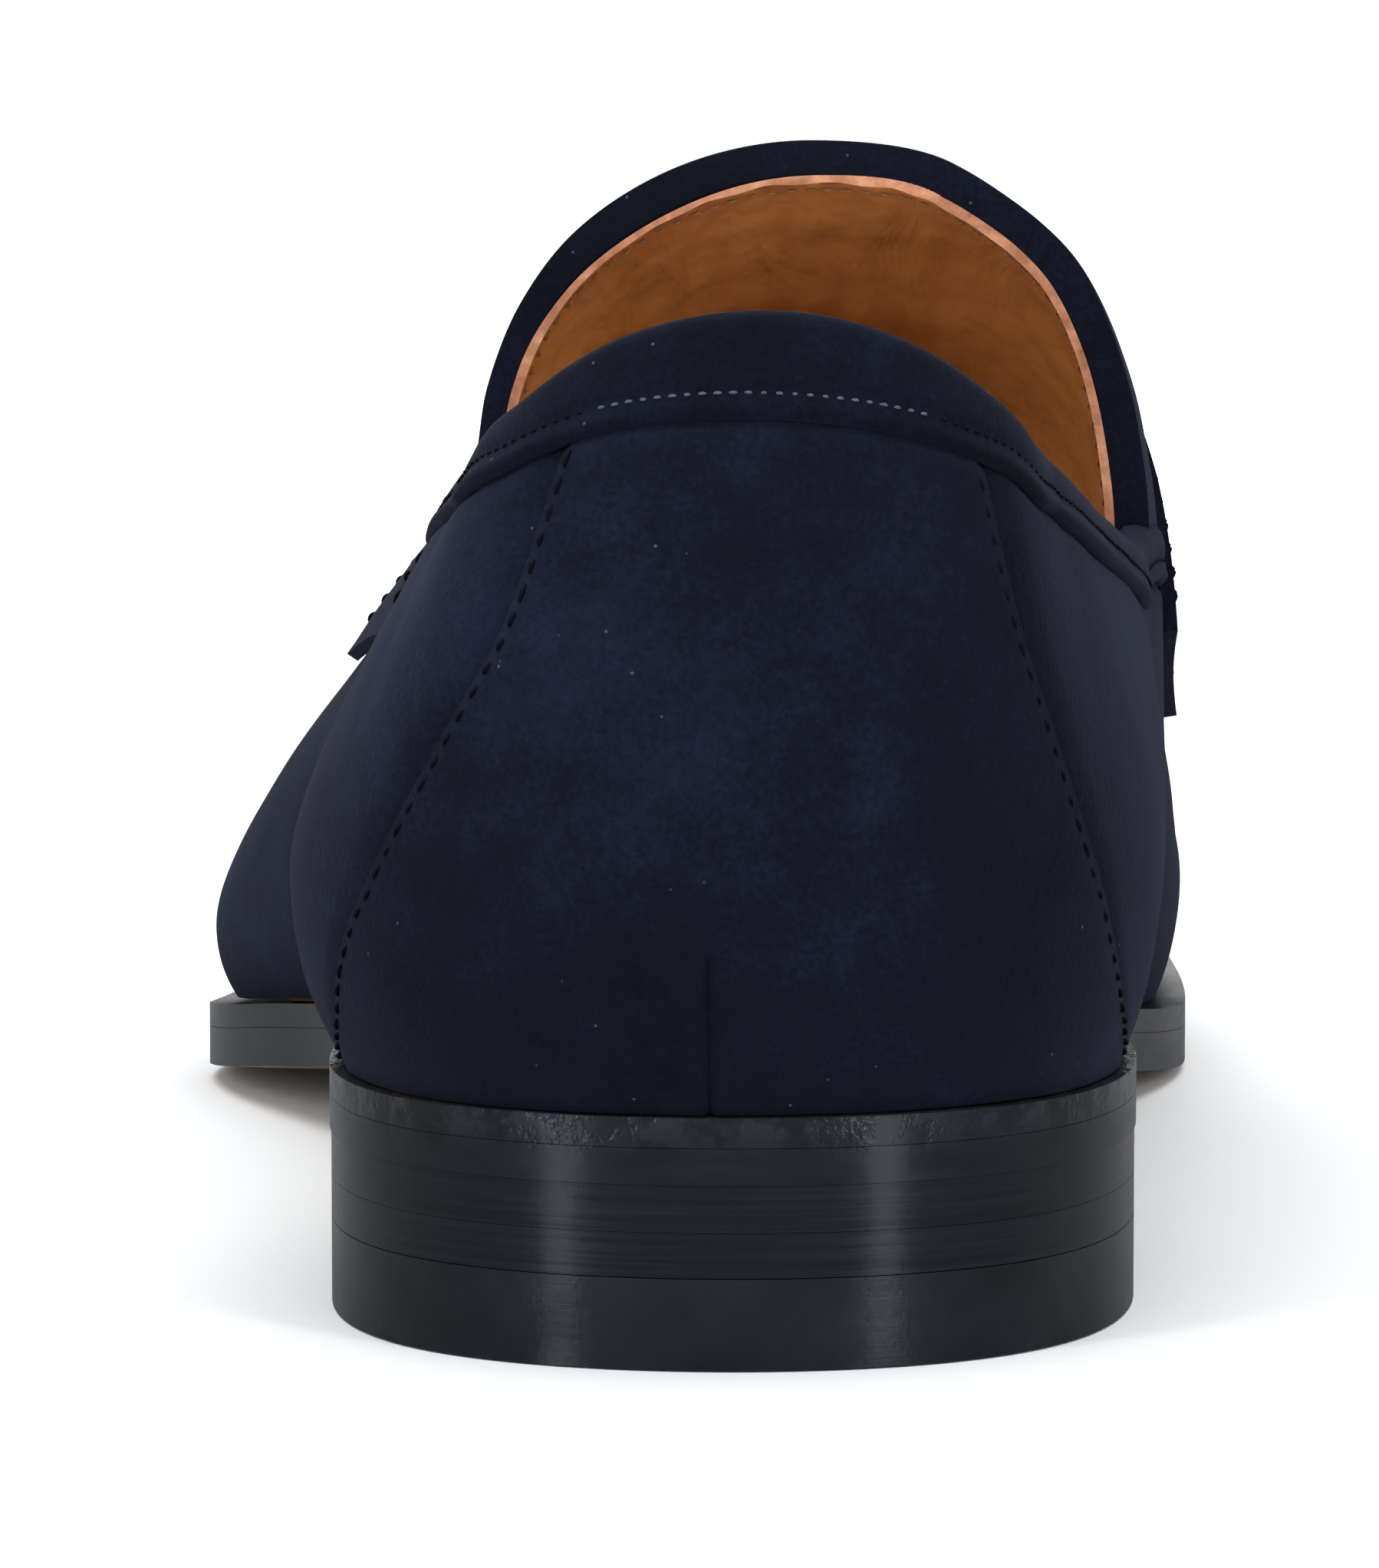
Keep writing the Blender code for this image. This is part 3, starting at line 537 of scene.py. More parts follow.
class Nodes:
    """Short way to write a node material in object coordinates."""

    def __init__(self, name):
        self.material = bpy.data.materials.new(name)
        self.material.use_nodes = True
        self.tree = self.material.node_tree
        self.shader = self.tree.nodes["Principled BSDF"]
        self.place = self.tree.nodes.new("ShaderNodeTexCoord").outputs["Object"]

    def link(self, out, socket):
        self.tree.links.new(out, socket)

    def set(self, **values):
        for key, value in values.items():
            self.shader.inputs[key.replace("_", " ")].default_value = value

    def stretched(self, scale):
        node = self.tree.nodes.new("ShaderNodeMapping")
        node.inputs["Scale"].default_value = scale
        self.link(self.place, node.inputs["Vector"])
        return node.outputs["Vector"]

    def noise(self, scale, detail=4, rough=0.55, vector=None, warp=0.0):
        node = self.tree.nodes.new("ShaderNodeTexNoise")
        node.inputs["Scale"].default_value = scale
        node.inputs["Detail"].default_value = detail
        node.inputs["Roughness"].default_value = rough
        node.inputs["Distortion"].default_value = warp
        self.link(vector or self.place, node.inputs["Vector"])
        return node.outputs["Fac"]

    def cells(self, scale, feature="F1"):
        node = self.tree.nodes.new("ShaderNodeTexVoronoi")
        node.feature = feature
        node.inputs["Scale"].default_value = scale
        self.link(self.place, node.inputs["Vector"])
        return node.outputs["Distance"]

    def ramp(self, value, stops):
        node = self.tree.nodes.new("ShaderNodeValToRGB")
        ends = node.color_ramp.elements
        while len(ends) < len(stops):
            ends.new(0.5)
        for end, (position, colour) in zip(ends, stops):
            end.position = position
            end.color = (*colour, 1)
        self.link(value, node.inputs["Fac"])
        return node.outputs["Color"]

    def band(self, value, low, high, to_low=0.0, to_high=1.0):
        node = self.tree.nodes.new("ShaderNodeMapRange")
        node.interpolation_type = "SMOOTHSTEP"
        for key, number in zip(("From Min", "From Max", "To Min", "To Max"),
                               (low, high, to_low, to_high)):
            node.inputs[key].default_value = number
        self.link(value, node.inputs["Value"])
        return node.outputs["Result"]

    def maths(self, kind, a, b):
        node = self.tree.nodes.new("ShaderNodeMath")
        node.operation = kind
        for socket, value in zip(node.inputs, (a, b)):
            if isinstance(value, (int, float)):
                socket.default_value = value
            else:
                self.link(value, socket)
        return node.outputs[0]

    def blend(self, fac, a, b):
        node = self.tree.nodes.new("ShaderNodeMix")
        node.data_type = "RGBA"
        self.link(fac, node.inputs["Factor"])
        for socket, value in ((node.inputs["A"], a), (node.inputs["B"], b)):
            if isinstance(value, tuple):
                socket.default_value = (*value, 1)
            else:
                self.link(value, socket)
        return node.outputs["Result"]

    def brushed(self):
        """Edges trimmed along the shoe, so that highlights spread up and down."""
        node = self.tree.nodes.new("ShaderNodeTangent")
        node.direction_type = "RADIAL"
        node.axis = "Z"
        self.link(node.outputs["Tangent"], self.shader.inputs["Tangent"])
        self.set(Anisotropic=0.9, Anisotropic_Rotation=0.25)

    def height(self):
        node = self.tree.nodes.new("ShaderNodeSeparateXYZ")
        self.link(self.place, node.inputs["Vector"])
        return node.outputs["Z"]

    def bumps(self, *layers):
        """Bump layers of (height, strength, distance in mm)."""
        normal = None
        for value, strength, distance in layers:
            node = self.tree.nodes.new("ShaderNodeBump")
            node.inputs["Strength"].default_value = strength
            node.inputs["Distance"].default_value = distance * MM
            self.link(value, node.inputs["Height"])
            if normal is not None:
                self.link(normal, node.inputs["Normal"])
            normal = node.outputs["Normal"]
        self.link(normal, self.shader.inputs["Normal"])


NAVY = [(0.38, (0.0017, 0.002, 0.0045)), (0.52, (0.0032, 0.0039, 0.0092)),
        (0.66, (0.0074, 0.0096, 0.024))]
LINT = (0.045, 0.05, 0.065)


def suede(name, shade=1.0):
    """Napped navy suede: brushed patches, mottling, fibres and a few specks of lint; a shade below 1
    darkens every colour as painted shade.
    """
    n = Nodes(name)
    patches = n.noise(24, 3, 0.5, warp=0.6)
    mottle = n.noise(170, 4, 0.65)
    fibres = n.noise(1700, 4, 0.75)
    tone = n.maths("ADD", n.maths("MULTIPLY", patches, 0.46), n.maths("MULTIPLY", mottle, 0.22))
    tone = n.maths("ADD", tone, n.maths("MULTIPLY", fibres, 0.32))
    stops = [(place, tuple(c * shade for c in colour)) for place, colour in NAVY]
    nap = n.ramp(tone, stops)
    specks = n.maths("MULTIPLY", n.band(n.cells(330), 0.03, 0.06, 1.0, 0.0),
                     n.band(n.noise(45, 2, 0.5), 0.5, 0.53))
    n.link(n.blend(specks, nap, LINT), n.shader.inputs["Base Color"])
    n.set(Roughness=0.95, Specular_IOR_Level=0.08, Sheen_Weight=0.05, Sheen_Roughness=0.5,
          Sheen_Tint=(0.42, 0.52, 0.9, 1))
    n.bumps((n.noise(60, 2, 0.5), 0.3, 0.8), (n.noise(900, 3, 0.6), 0.25, 0.2), (fibres, 1.0, 0.14))
    return n.material


def lining_leather(name, colours, wrinkles):
    """Smooth caramel lining leather with fine creases and pores."""
    n = Nodes(name)
    tone = n.maths("ADD", n.maths("MULTIPLY", n.noise(38, 4, 0.6, warp=0.4), 0.7),
                   n.maths("MULTIPLY", n.noise(420, 3, 0.6), 0.3))
    n.link(n.ramp(tone, [(0.35, colours[0]), (0.52, colours[1]), (0.68, colours[2])]),
           n.shader.inputs["Base Color"])
    n.link(n.band(n.noise(90, 3, 0.5), 0.3, 0.7, 0.42, 0.6), n.shader.inputs["Roughness"])
    folds = n.noise(1.0, 3, 0.5, n.stretched((170, 60, 38)), 0.7)
    n.set(Specular_IOR_Level=0.4)
    n.bumps((folds, wrinkles, 1.6), (n.noise(220, 3, 0.6), 0.35 * wrinkles, 0.7),
            (n.cells(900, feature="SMOOTH_F1"), 0.25, 0.12))
    return n.material


def raw_edge(name):
    """Cut edge of the lining: pale, fibrous leather."""
    n = Nodes(name)
    shades = [(0.3, (0.27, 0.1, 0.045)), (0.5, (0.38, 0.15, 0.075)), (0.7, (0.5, 0.23, 0.125))]
    n.link(n.ramp(n.noise(500, 4, 0.6), shades), n.shader.inputs["Base Color"])
    n.set(Roughness=0.85)
    n.bumps((n.noise(1400, 3, 0.6), 0.6, 0.2))
    return n.material


def edge_paint(name, gloss, rough, stretch):
    """Black painted leather edge: faint lift lines, streaks and a scuffed, glossy rim, lighter partly from
    wear and partly as a painted highlight.
    """
    n = Nodes(name)
    streaks = n.noise(1.0, 4, 0.6, n.stretched(stretch))
    blotch = n.noise(55, 3, 0.6)
    rim = n.maths("MULTIPLY", n.band(n.height(), SCUFF_AND_HIGHLIGHT_LOW * MM, SCUFF_AND_HIGHLIGHT_HIGH * MM),
                  n.band(n.noise(240, 4, 0.7), 0.42, 0.6))
    tone = n.maths("ADD", n.maths("MULTIPLY", streaks, 0.6), n.maths("MULTIPLY", blotch, 0.4))
    paint = n.ramp(tone, [(0.35, (0.0055, 0.0062, 0.0085)), (0.6, (0.0085, 0.0095, 0.0128)),
                          (0.75, (0.0125, 0.0145, 0.0185))])
    # The rim's lighter colour is scuffed wear and in part a painted highlight.
    n.link(n.blend(rim, paint, (0.016, 0.018, 0.022)), n.shader.inputs["Base Color"])
    uneven = n.band(streaks, 0.3, 0.7, rough - 0.05, rough + 0.05)
    n.link(n.maths("ADD", uneven, n.maths("MULTIPLY", rim, -0.06)), n.shader.inputs["Roughness"])
    n.set(Specular_IOR_Level=gloss)
    n.brushed()
    n.bumps((streaks, 0.12, 0.1), (n.noise(300, 4, 0.6), 0.1, 0.25), (rim, 0.35, 0.2))
    return n.material


def rubber(name):
    """Black heel rubber, finely pebbled."""
    n = Nodes(name)
    fine = n.noise(1500, 3, 0.6)
    shades = [(0.35, (0.0065, 0.0072, 0.0095)), (0.65, (0.0115, 0.013, 0.0165))]
    n.link(n.ramp(n.noise(70, 4, 0.6), shades), n.shader.inputs["Base Color"])
    n.link(n.band(n.noise(200, 3, 0.5), 0.3, 0.7, 0.2, 0.3), n.shader.inputs["Roughness"])
    n.set(Specular_IOR_Level=0.17)
    n.brushed()
    n.bumps((n.noise(1.0, 3, 0.6, n.stretched((60, 60, 1500))), 0.15, 0.12), (fine, 0.25, 0.06))
    return n.material


def sole_leather(name):
    """Tan sole leather with fine pores and rubbed streaks along the shoe."""
    n = Nodes(name)
    streaks = n.noise(1.0, 4, 0.6, n.stretched((420, 50, 50)))
    tone = n.maths("ADD", n.maths("MULTIPLY", streaks, 0.4), n.maths("MULTIPLY", n.noise(30, 4, 0.6), 0.6))
    shades = [(0.35, (0.2, 0.105, 0.05)), (0.52, (0.3, 0.175, 0.09)), (0.68, (0.4, 0.25, 0.14))]
    n.link(n.ramp(tone, shades), n.shader.inputs["Base Color"])
    n.link(n.band(tone, 0.35, 0.65, 0.4, 0.6), n.shader.inputs["Roughness"])
    n.bumps((streaks, 0.2, 0.15), (n.cells(1100), 0.3, 0.08))
    return n.material


def thread(name, colour):
    """Twisted sewing thread."""
    n = Nodes(name)
    twist = n.noise(3200, 2, 0.5)
    pale = tuple(min(c * 1.7, 1) for c in colour)
    n.link(n.ramp(twist, [(0.35, colour), (0.7, pale)]), n.shader.inputs["Base Color"])
    n.set(Roughness=0.75, Specular_IOR_Level=0.1)
    n.bumps((twist, 0.5, 0.08))
    return n.material


def plain_stock(name, low, high, scale, roughness, metallic=0.0):
    """Stock of the hidden pieces: a mottled colour and a fine grain."""
    n = Nodes(name)
    grain = n.noise(scale, 4, 0.6)
    n.link(n.ramp(grain, [(0.35, low), (0.65, high)]), n.shader.inputs["Base Color"])
    n.link(n.band(grain, 0.3, 0.7, roughness - 0.08, roughness + 0.08), n.shader.inputs["Roughness"])
    n.set(Metallic=metallic)
    n.bumps((grain, 0.3, 0.2))
    return n.material


SUEDE = suede("suede_navy")
# Darker copy of the same suede for the collar band: painted shade.
SUEDE_PAINTED_SHADE = suede("suede_navy_painted_shade", 0.62)
CARAMEL = ((0.3, 0.104, 0.022), (0.43, 0.158, 0.038), (0.53, 0.205, 0.058))
PALE_CARAMEL = ((0.27, 0.12, 0.04), (0.36, 0.165, 0.06), (0.42, 0.2, 0.075))
LINING = lining_leather("lining_caramel", CARAMEL, 0.6)
SOCK = lining_leather("sock_caramel", PALE_CARAMEL, 0.15)
RAW_EDGE = raw_edge("lining_raw_edge")
HEEL_PAINT = edge_paint("heel_paint", 0.17, 0.27, (45, 45, 2600))
SOLE_PAINT = edge_paint("sole_paint", 0.19, 0.33, (90, 90, 400))
RUBBER = rubber("heel_rubber")
SOLE_LEATHER = sole_leather("sole_leather_tan")
THREAD_NAVY = thread("thread_navy", (0.0012, 0.0014, 0.0034))
THREAD_GREY = thread("thread_grey", (0.05, 0.056, 0.075))
THREAD_TAN = thread("thread_tan", (0.16, 0.07, 0.03))


# ------------------------------------------------------------------ the pieces


def unit_grid(along, across):
    return np.meshgrid(np.linspace(0, 1, along + 1), np.linspace(0, 1, across + 1), indexing="ij")


def panel(name, domain, depths, along, across, material, seed,
          open_edges=(), walls=None, edge=PANEL_BEVEL):
    """Panel of the upper; depths are functions of (u, t, a, b), gently uneven outside."""
    a, b = unit_grid(along, across)
    u, t = domain(a, b)
    outside = layer(u, t, depths[0](u, t, a, b))
    waves = sum(height * wander(outside, size, seed + k) for k, (size, height) in enumerate(WAVES))
    outside += upper_frame(u, t)[0] * waves[..., None]
    inside = layer(u, t, depths[1](u, t, a, b))
    return soften(shell(name, outside, inside, material, open_edges, walls), edge)


def flat_depth(value):
    return lambda u, t, a, b: np.full(np.shape(u), value)


def counter_domain(top_t, margin):
    def domain(a, b):
        side = np.where(a >= 0.5, 1.0, -1.0)
        seam = counter_seam(side, b) + margin / REAR_MM_PER_U
        u = seam * (2 * a - 1)
        return u, b * top_t(u)
    return domain


def quarter_domain(side, top_t, rear_margin, front_margin):
    def domain(a, b):
        rear = counter_seam(side, b) + rear_margin / REAR_MM_PER_U
        front = side_seam(side, top_t, b) + front_margin / FRONT_MM_PER_U
        u = side * mix(rear, front, a)
        return u, b * top_t(u)
    return domain


def vamp_domain(top_t, margin):
    def domain(a, b):
        start = side_seam(1, top_t, b) + margin / FRONT_MM_PER_U
        end = 2 - side_seam(-1, top_t, b) - margin / FRONT_MM_PER_U
        u = wrap(mix(start, end, a))
        return u, b * top_t(u)
    return domain


def apron_domain(margin):
    def domain(a, b):
        across = 2 * b - 1
        rear = mix(TONGUE_EDGE, TONGUE_CORNER, across ** 2)
        u = mix(u_at(rear), 1.0, a) * np.where(across >= 0, 1.0, -1.0)
        return u, mix(1.0, lower_by(u, edge_t(u), -margin), np.abs(across))
    return domain


def strap_domain(a, b):
    across = 2 * b - 1
    bow = np.abs(across) ** 1.6
    s = mix(mix(*STRAP_REAR, bow), mix(*STRAP_FRONT, bow), a)
    end = np.where(across >= 0, STRAP_END_T[1], STRAP_END_T[-1])
    return u_at(s) * np.where(across >= 0, 1.0, -1.0), mix(1.0, end, np.abs(across))


def under_band(u):
    """Panels run up a little way under the collar band."""
    return lower_by(u, collar_foot_t(u), -UNDER_BAND)


def tuck(u, t):
    """Extra depth where a panel slides under the collar band."""
    _, speed = upper_frame(u, t)
    above = (t - collar_foot_t(u)) * speed
    return TUCK_DEPTH * smoothstep(*TUCK_RANGE, above)


def build_counter():
    def outer(u, t, a, b):
        spot = upper(u, t)
        beside = (spot[..., 0] - BACK_SEAM_X) / BACK_SEAM_WIDTH
        groove = BACK_SEAM_DEPTH * np.exp(-beside ** 2) * (1 - smoothstep(*BACK_SEAM_TOP, spot[..., 2]))
        edge = 1 - smoothstep(0, 0.035, np.minimum(a, 1 - a))
        return tuck(u, t) - COUNTER_PROUD * (1 - 0.4 * edge) + groove

    made = panel("counter_suede", counter_domain(under_band, 0.9),
                 (outer, flat_depth(COUNTER_BACK)), 300, 120, SUEDE, 3)
    keep(made, "suede", "back_counter_panel")


def build_quarter(side, name, seed):
    def outer(u, t, a, b):
        return tuck(u, t) + QUARTER_DIP * (1 - smoothstep(0.0, 0.07, a))

    made = panel("quarter_suede_" + name, quarter_domain(side, under_band, -1.5, 0.0),
                 (outer, flat_depth(QUARTER_BACK)), 220, 90, SUEDE, seed)
    keep(made, "suede", "quarter_" + name)


def build_vamp():
    def top_t(u):
        return lower_by(u, edge_t(u), 0.25)

    def outer(u, t, a, b):
        return VAMP_FACE + 0.35 * smoothstep(0.95, 1.0, b)

    made = panel("vamp_suede", vamp_domain(top_t, 0.1), (outer, flat_depth(SUEDE_BACK)),
                 460, 60, SUEDE, 11)
    keep(made, "suede", "vamp")


def rim_depth(b):
    """Thickness of the tongue's folded edge, thinner towards the lateral side."""
    return RIM_DEPTH - RIM_THINNING * smoothstep(0.62, 0.9, b)


def build_apron():
    def outer(u, t, a, b):
        rim = 1 - smoothstep(0.0, 0.03, a)
        side_edge = smoothstep(0.94, 1.0, np.abs(2 * b - 1))
        return -0.15 * rim + 0.5 * side_edge * smoothstep(0.14, 0.2, a)

    def inner(u, t, a, b):
        return mix(rim_depth(b), SUEDE_BACK, smoothstep(0.02, 0.06, a))

    made = panel("apron_suede", apron_domain(0.25), (outer, inner), 260, 120, SUEDE, 17,
                 ("end",), edge=2 * PANEL_BEVEL)
    keep(made, "suede", "apron")


def build_moc_seam():
    """Raised, hand-gathered seam between apron and vamp, with its whip stitches."""
    start = float(u_at(MOC_START))
    u = wrap(np.linspace(start, 2 - start, 1400))
    t = edge_t(u)
    centre = layer(u, t, -0.1)
    normal = upper_frame(u, t)[0]
    run = unit(np.gradient(centre, axis=0))
    side = np.cross(run, normal)
    length = np.concatenate([[0], np.cumsum(np.linalg.norm(np.diff(centre, axis=0), axis=1))])
    gather = 1 + MOC_GATHER * np.cos(2 * math.pi * length / MOC_PITCH)
    angle = np.linspace(0, 2 * math.pi, 14, endpoint=False)
    wide, tall = MOC_WIDTH * gather, MOC_HEIGHT * gather
    rings = (centre[:, None] + side[:, None] * (np.cos(angle)[None, :, None] * wide[:, None, None])
             + normal[:, None] * (np.sin(angle)[None, :, None] * tall[:, None, None]))
    keep(sweep("moc_seam_ridge", rings, SUEDE), "suede")
    middles = (np.arange(int(length[-1] / MOC_PITCH)) + 0.5) * MOC_PITCH
    bend = np.linspace(-WHIP_ARC, WHIP_ARC, 9)[:, None]
    arcs = [centre[k] + side[k] * np.sin(bend) * WHIP_ARC + normal[k] * np.cos(bend) * WHIP_RISE
            + run[k] * bend * WHIP_SLANT for k in np.searchsorted(length, middles)]
    keep(threads("moc_seam_stitches", arcs, MOC_THREAD, THREAD_NAVY), "suede")


def threads(name, paths, radius, material):
    """Short round threads along given paths."""
    angle = np.linspace(0, 2 * math.pi, THREAD_SIDES, endpoint=False)[None, :, None]
    points, faces = [], []
    base = 0
    for path in paths:
        run = unit(np.gradient(path, axis=0))
        side = unit(np.cross(run, np.array([0.31, 0.17, 0.93])))
        up = np.cross(side, run)
        fade = radius * np.sin(np.linspace(0.25, math.pi - 0.25, len(path))) ** 0.5
        round_it = side[:, None] * np.cos(angle) + up[:, None] * np.sin(angle)
        points.append((path[:, None] + round_it * fade[:, None, None]).reshape(-1, 3))
        for start in range(base, base + (len(path) - 1) * THREAD_SIDES, THREAD_SIDES):
            for j in range(THREAD_SIDES):
                after = (j + 1) % THREAD_SIDES
                faces.append((start + j, start + THREAD_SIDES + j, start + THREAD_SIDES + after,
                              start + after))
        last = base + (len(path) - 1) * THREAD_SIDES
        faces += [tuple(end + j for j in range(THREAD_SIDES)) for end in (base, last)]
        base = last + THREAD_SIDES
    return new_object(name, np.concatenate(points), faces, material)


def stitch_row(name, slot, u, t, row, material, arch=0.6):
    """Running stitches of uneven length along a line (u, t) on the upper."""
    depth, pitch, share, radius = row
    line = layer(u, t, depth)
    normal = upper_frame(u, t)[0]
    length = np.concatenate([[0], np.cumsum(np.linalg.norm(np.diff(line, axis=0), axis=1))])
    paths = []
    rng = np.random.default_rng(len(name))
    for k in range(int(length[-1] / pitch)):
        half = share * rng.uniform(0.32, 0.54)
        at = k * pitch + pitch * np.linspace(0.5 - half, 0.5 + half, 7)
        spot = np.stack([np.interp(at, length, line[:, i]) for i in range(3)], axis=-1)
        out = unit(np.stack([np.interp(at, length, normal[:, i]) for i in range(3)], axis=-1))
        lift = radius * (arch * np.sin(np.linspace(0, math.pi, 7)) * 1.6 - rng.uniform(0.4, 0.9))
        paths.append(spot + out * lift[:, None])
    keep(threads(name, paths, radius, material), slot)


def build_collar():
    """Folded collar band: a rounded strip that closes over suede and lining."""
    end = float(u_at(SIDE_SEAM_HEAD - 4))
    u = np.linspace(-end, end, 520)
    top = edge_t(u)
    speed = upper_frame(u, top)[1]
    height = collar_height(station_at(u))
    rings = [(height - climb, depth) for climb, depth in COLLAR_FOOT]
    rings += [(np.full_like(u, drop), depth) for drop, depth in COLLAR_TOP]
    rings += [(0.6 * height, depth) for depth in COLLAR_BACK]
    columns = [layer(u, top - drop / speed, np.full_like(u, depth)) for drop, depth in rings]
    tube = np.stack(columns, axis=1)
    wave = COLLAR_WAVE[1] * wander(columns[0], COLLAR_WAVE[0], 29)
    tube += upper_frame(u, top)[0][:, None] * wave[:, None, None]
    # The collar band takes the darker copy of the suede: painted shade.
    keep(sweep("collar_suede", tube, SUEDE_PAINTED_SHADE), "suede", "collar_band")
    build_collar_stitches(end)


def build_collar_stitches(end):
    """One row round the collar, in light thread across the back of the heel."""
    lateral, medial = float(u_at(LIGHT_STITCHES[0])), -float(u_at(LIGHT_STITCHES[1]))
    for name, span, material in (("lateral", (lateral, end), THREAD_NAVY),
                                 ("centre", (medial, lateral), THREAD_GREY),
                                 ("medial", (-end, medial), THREAD_NAVY)):
        inner = np.linspace(*span, 500)
        line = lower_by(inner, collar_foot_t(inner), -COLLAR_ROW_CLIMB)
        stitch_row("collar_stitches_" + name, "suede", inner, line, COLLAR_ROW, material)


def build_seam_stitches():
    b = np.linspace(0.03, 0.985, 300)
    for side, name in ((1.0, "lateral"), (-1.0, "medial")):
        seam = counter_seam(np.full_like(b, side), b) - 0.1 / REAR_MM_PER_U
        t = b * under_band(side * seam)
        stitch_row("counter_stitches_" + name, "suede", side * seam, t, COUNTER_ROW, THREAD_NAVY)


def cut(made, hole):
    """Cuts one object out of another and removes the cutter."""
    step = made.modifiers.new("slot", "BOOLEAN")
    step.operation = "DIFFERENCE"
    step.solver = "EXACT"
    step.object = hole
    bpy.context.view_layer.update()
    ready = bpy.data.meshes.new_from_object(made.evaluated_get(bpy.context.evaluated_depsgraph_get()))
    made.modifiers.clear()
    made.data = ready
    bpy.data.objects.remove(hole)


def build_strap():
    """Padded strap across the instep with its coin slot and two stitch rows."""
    a, b = unit_grid(60, 300)
    u, t = strap_domain(a, b)
    rim = np.minimum(np.minimum(a, 1 - a) * STRAP_WIDTH, np.minimum(b, 1 - b) * STRAP_LENGTH)
    outside = layer(u, t, STRAP_FACE - STRAP_PAD * smoothstep(0.0, STRAP_PAD_RIM, rim))
    wave = STRAP_WAVE[1] * wander(outside, STRAP_WAVE[0], 41)
    outside += upper_frame(u, t)[0] * wave[..., None]
    inside = layer(u, t, np.full_like(u, STRAP_BACK))
    made = shell("strap_suede", outside, inside, SUEDE)
    cut(made, slot_shape())
    soften(made, 0.4)
    keep(made, "suede", "saddle_strap")
    across = np.linspace(0.02, 0.98, 400)
    for edge, name in STRAP_ROWS:
        u, t = strap_domain(np.full_like(across, edge), across)
        stitch_row("strap_stitches_" + name, "suede", u, t, STRAP_ROW, THREAD_NAVY)


def slot_shape():
    """Cutter for the coin slot: a long lens."""
    centre = np.array([HEEL_X + ridge_x(SLOT_STATION), HEEL_Y - SLOT_STATION,
                       ridge_height(SLOT_STATION)])
    angle = np.linspace(0, 2 * math.pi, 49)[:-1]
    x = SLOT_HALF_LENGTH * np.cos(angle)
    y = SLOT_HALF_WIDTH * np.sin(angle) * np.abs(np.sin(angle)) ** 0.2
    ring = np.stack([x, y, np.zeros_like(x)], axis=-1) + centre
    rings = np.stack([ring + [0, 0, z] for z in (-SLOT_REACH, SLOT_REACH)])
    return sweep("slot_cutter", rings, SUEDE)


def build_linings():
    def top_t(u):
        return lower_by(u, edge_t(u), LINING_DROP)

    depths = (flat_depth(LINING_FACE), flat_depth(LINING_BACK))
    keep(panel("heel_lining_leather", counter_domain(top_t, 0), depths, 120, 60, LINING, 51,
               walls=RAW_EDGE, edge=0.25), "lining", "heel_lining")
    for side, name in ((1, "lateral"), (-1, "medial")):
        keep(panel("quarter_lining_leather_" + name, quarter_domain(side, top_t, 0.15, 0.0), depths,
                   140, 60, LINING, 53 + side, walls=RAW_EDGE, edge=0.25),
             "lining", "quarter_lining_" + name)
    keep(panel("vamp_lining_leather", vamp_domain(top_t, 0.15), depths, 200, 40, LINING, 57,
               edge=0.25), "lining", "vamp_lining")


def build_tongue_lining():
    """Lining under the apron, with a stitch row inside the tongue's raw edge."""
    def lining_top(u, t, a, b):
        return rim_depth(b) + 0.05

    def tongue_inner(u, t, a, b):
        """Soft creases across the bend of the tongue."""
        x = (2 * b - 1) * TONGUE_HALF_WIDTH
        folds = np.sin(x * 1.9 + 1.4 * np.sin(a * 60)) * np.exp(-(x / 9) ** 2) * 0.12
        cross = np.sin(a * 190 + 0.9 * np.sin(x * 0.4)) * 0.1 * smoothstep(0.02, 0.08, a)
        return lining_top(u, t, a, b) + TONGUE_LINING + (folds + cross) * (1 - smoothstep(0.25, 0.4, a))

    made = panel("apron_lining_leather", apron_domain(0.3), (lining_top, tongue_inner),
                 300, 160, LINING, 59, ("end",), walls=RAW_EDGE, edge=0.3)
    keep(made, "lining", "apron_lining")
    across = np.linspace(0.0, 1.0, 500)
    rear = mix(TONGUE_EDGE, TONGUE_CORNER, (2 * across - 1) ** 2) + TONGUE_ROW_INSET
    u = u_at(rear) * np.where(across >= 0.5, 1.0, -1.0)
    t = mix(1.0, edge_t(u), np.abs(2 * across - 1))
    row = (rim_depth(across) + TONGUE_LINING + 0.1, *TONGUE_ROW_PITCH)
    stitch_row("tongue_edge_stitches", "lining", u, t, row, THREAD_TAN, arch=-0.6)


def slab(name, inset, top, bottom, material, along=220, across=30, **more):
    """Layer of the sole between two height functions of (point, station, share)."""
    a, b = unit_grid(along, across)
    lateral, _ = plan(a, inset)
    medial, _ = plan(-a, inset)
    spot = mix(medial, lateral, b[..., None])
    station = HEEL_Y - spot[..., 1]
    upper_face, lower_face = spot.copy(), spot.copy()
    upper_face[..., 2] = top(spot, station, 2 * b - 1)
    lower_face[..., 2] = bottom(spot, station, 2 * b - 1)
    return shell(name, upper_face, lower_face, material, ("start", "end"), **more)


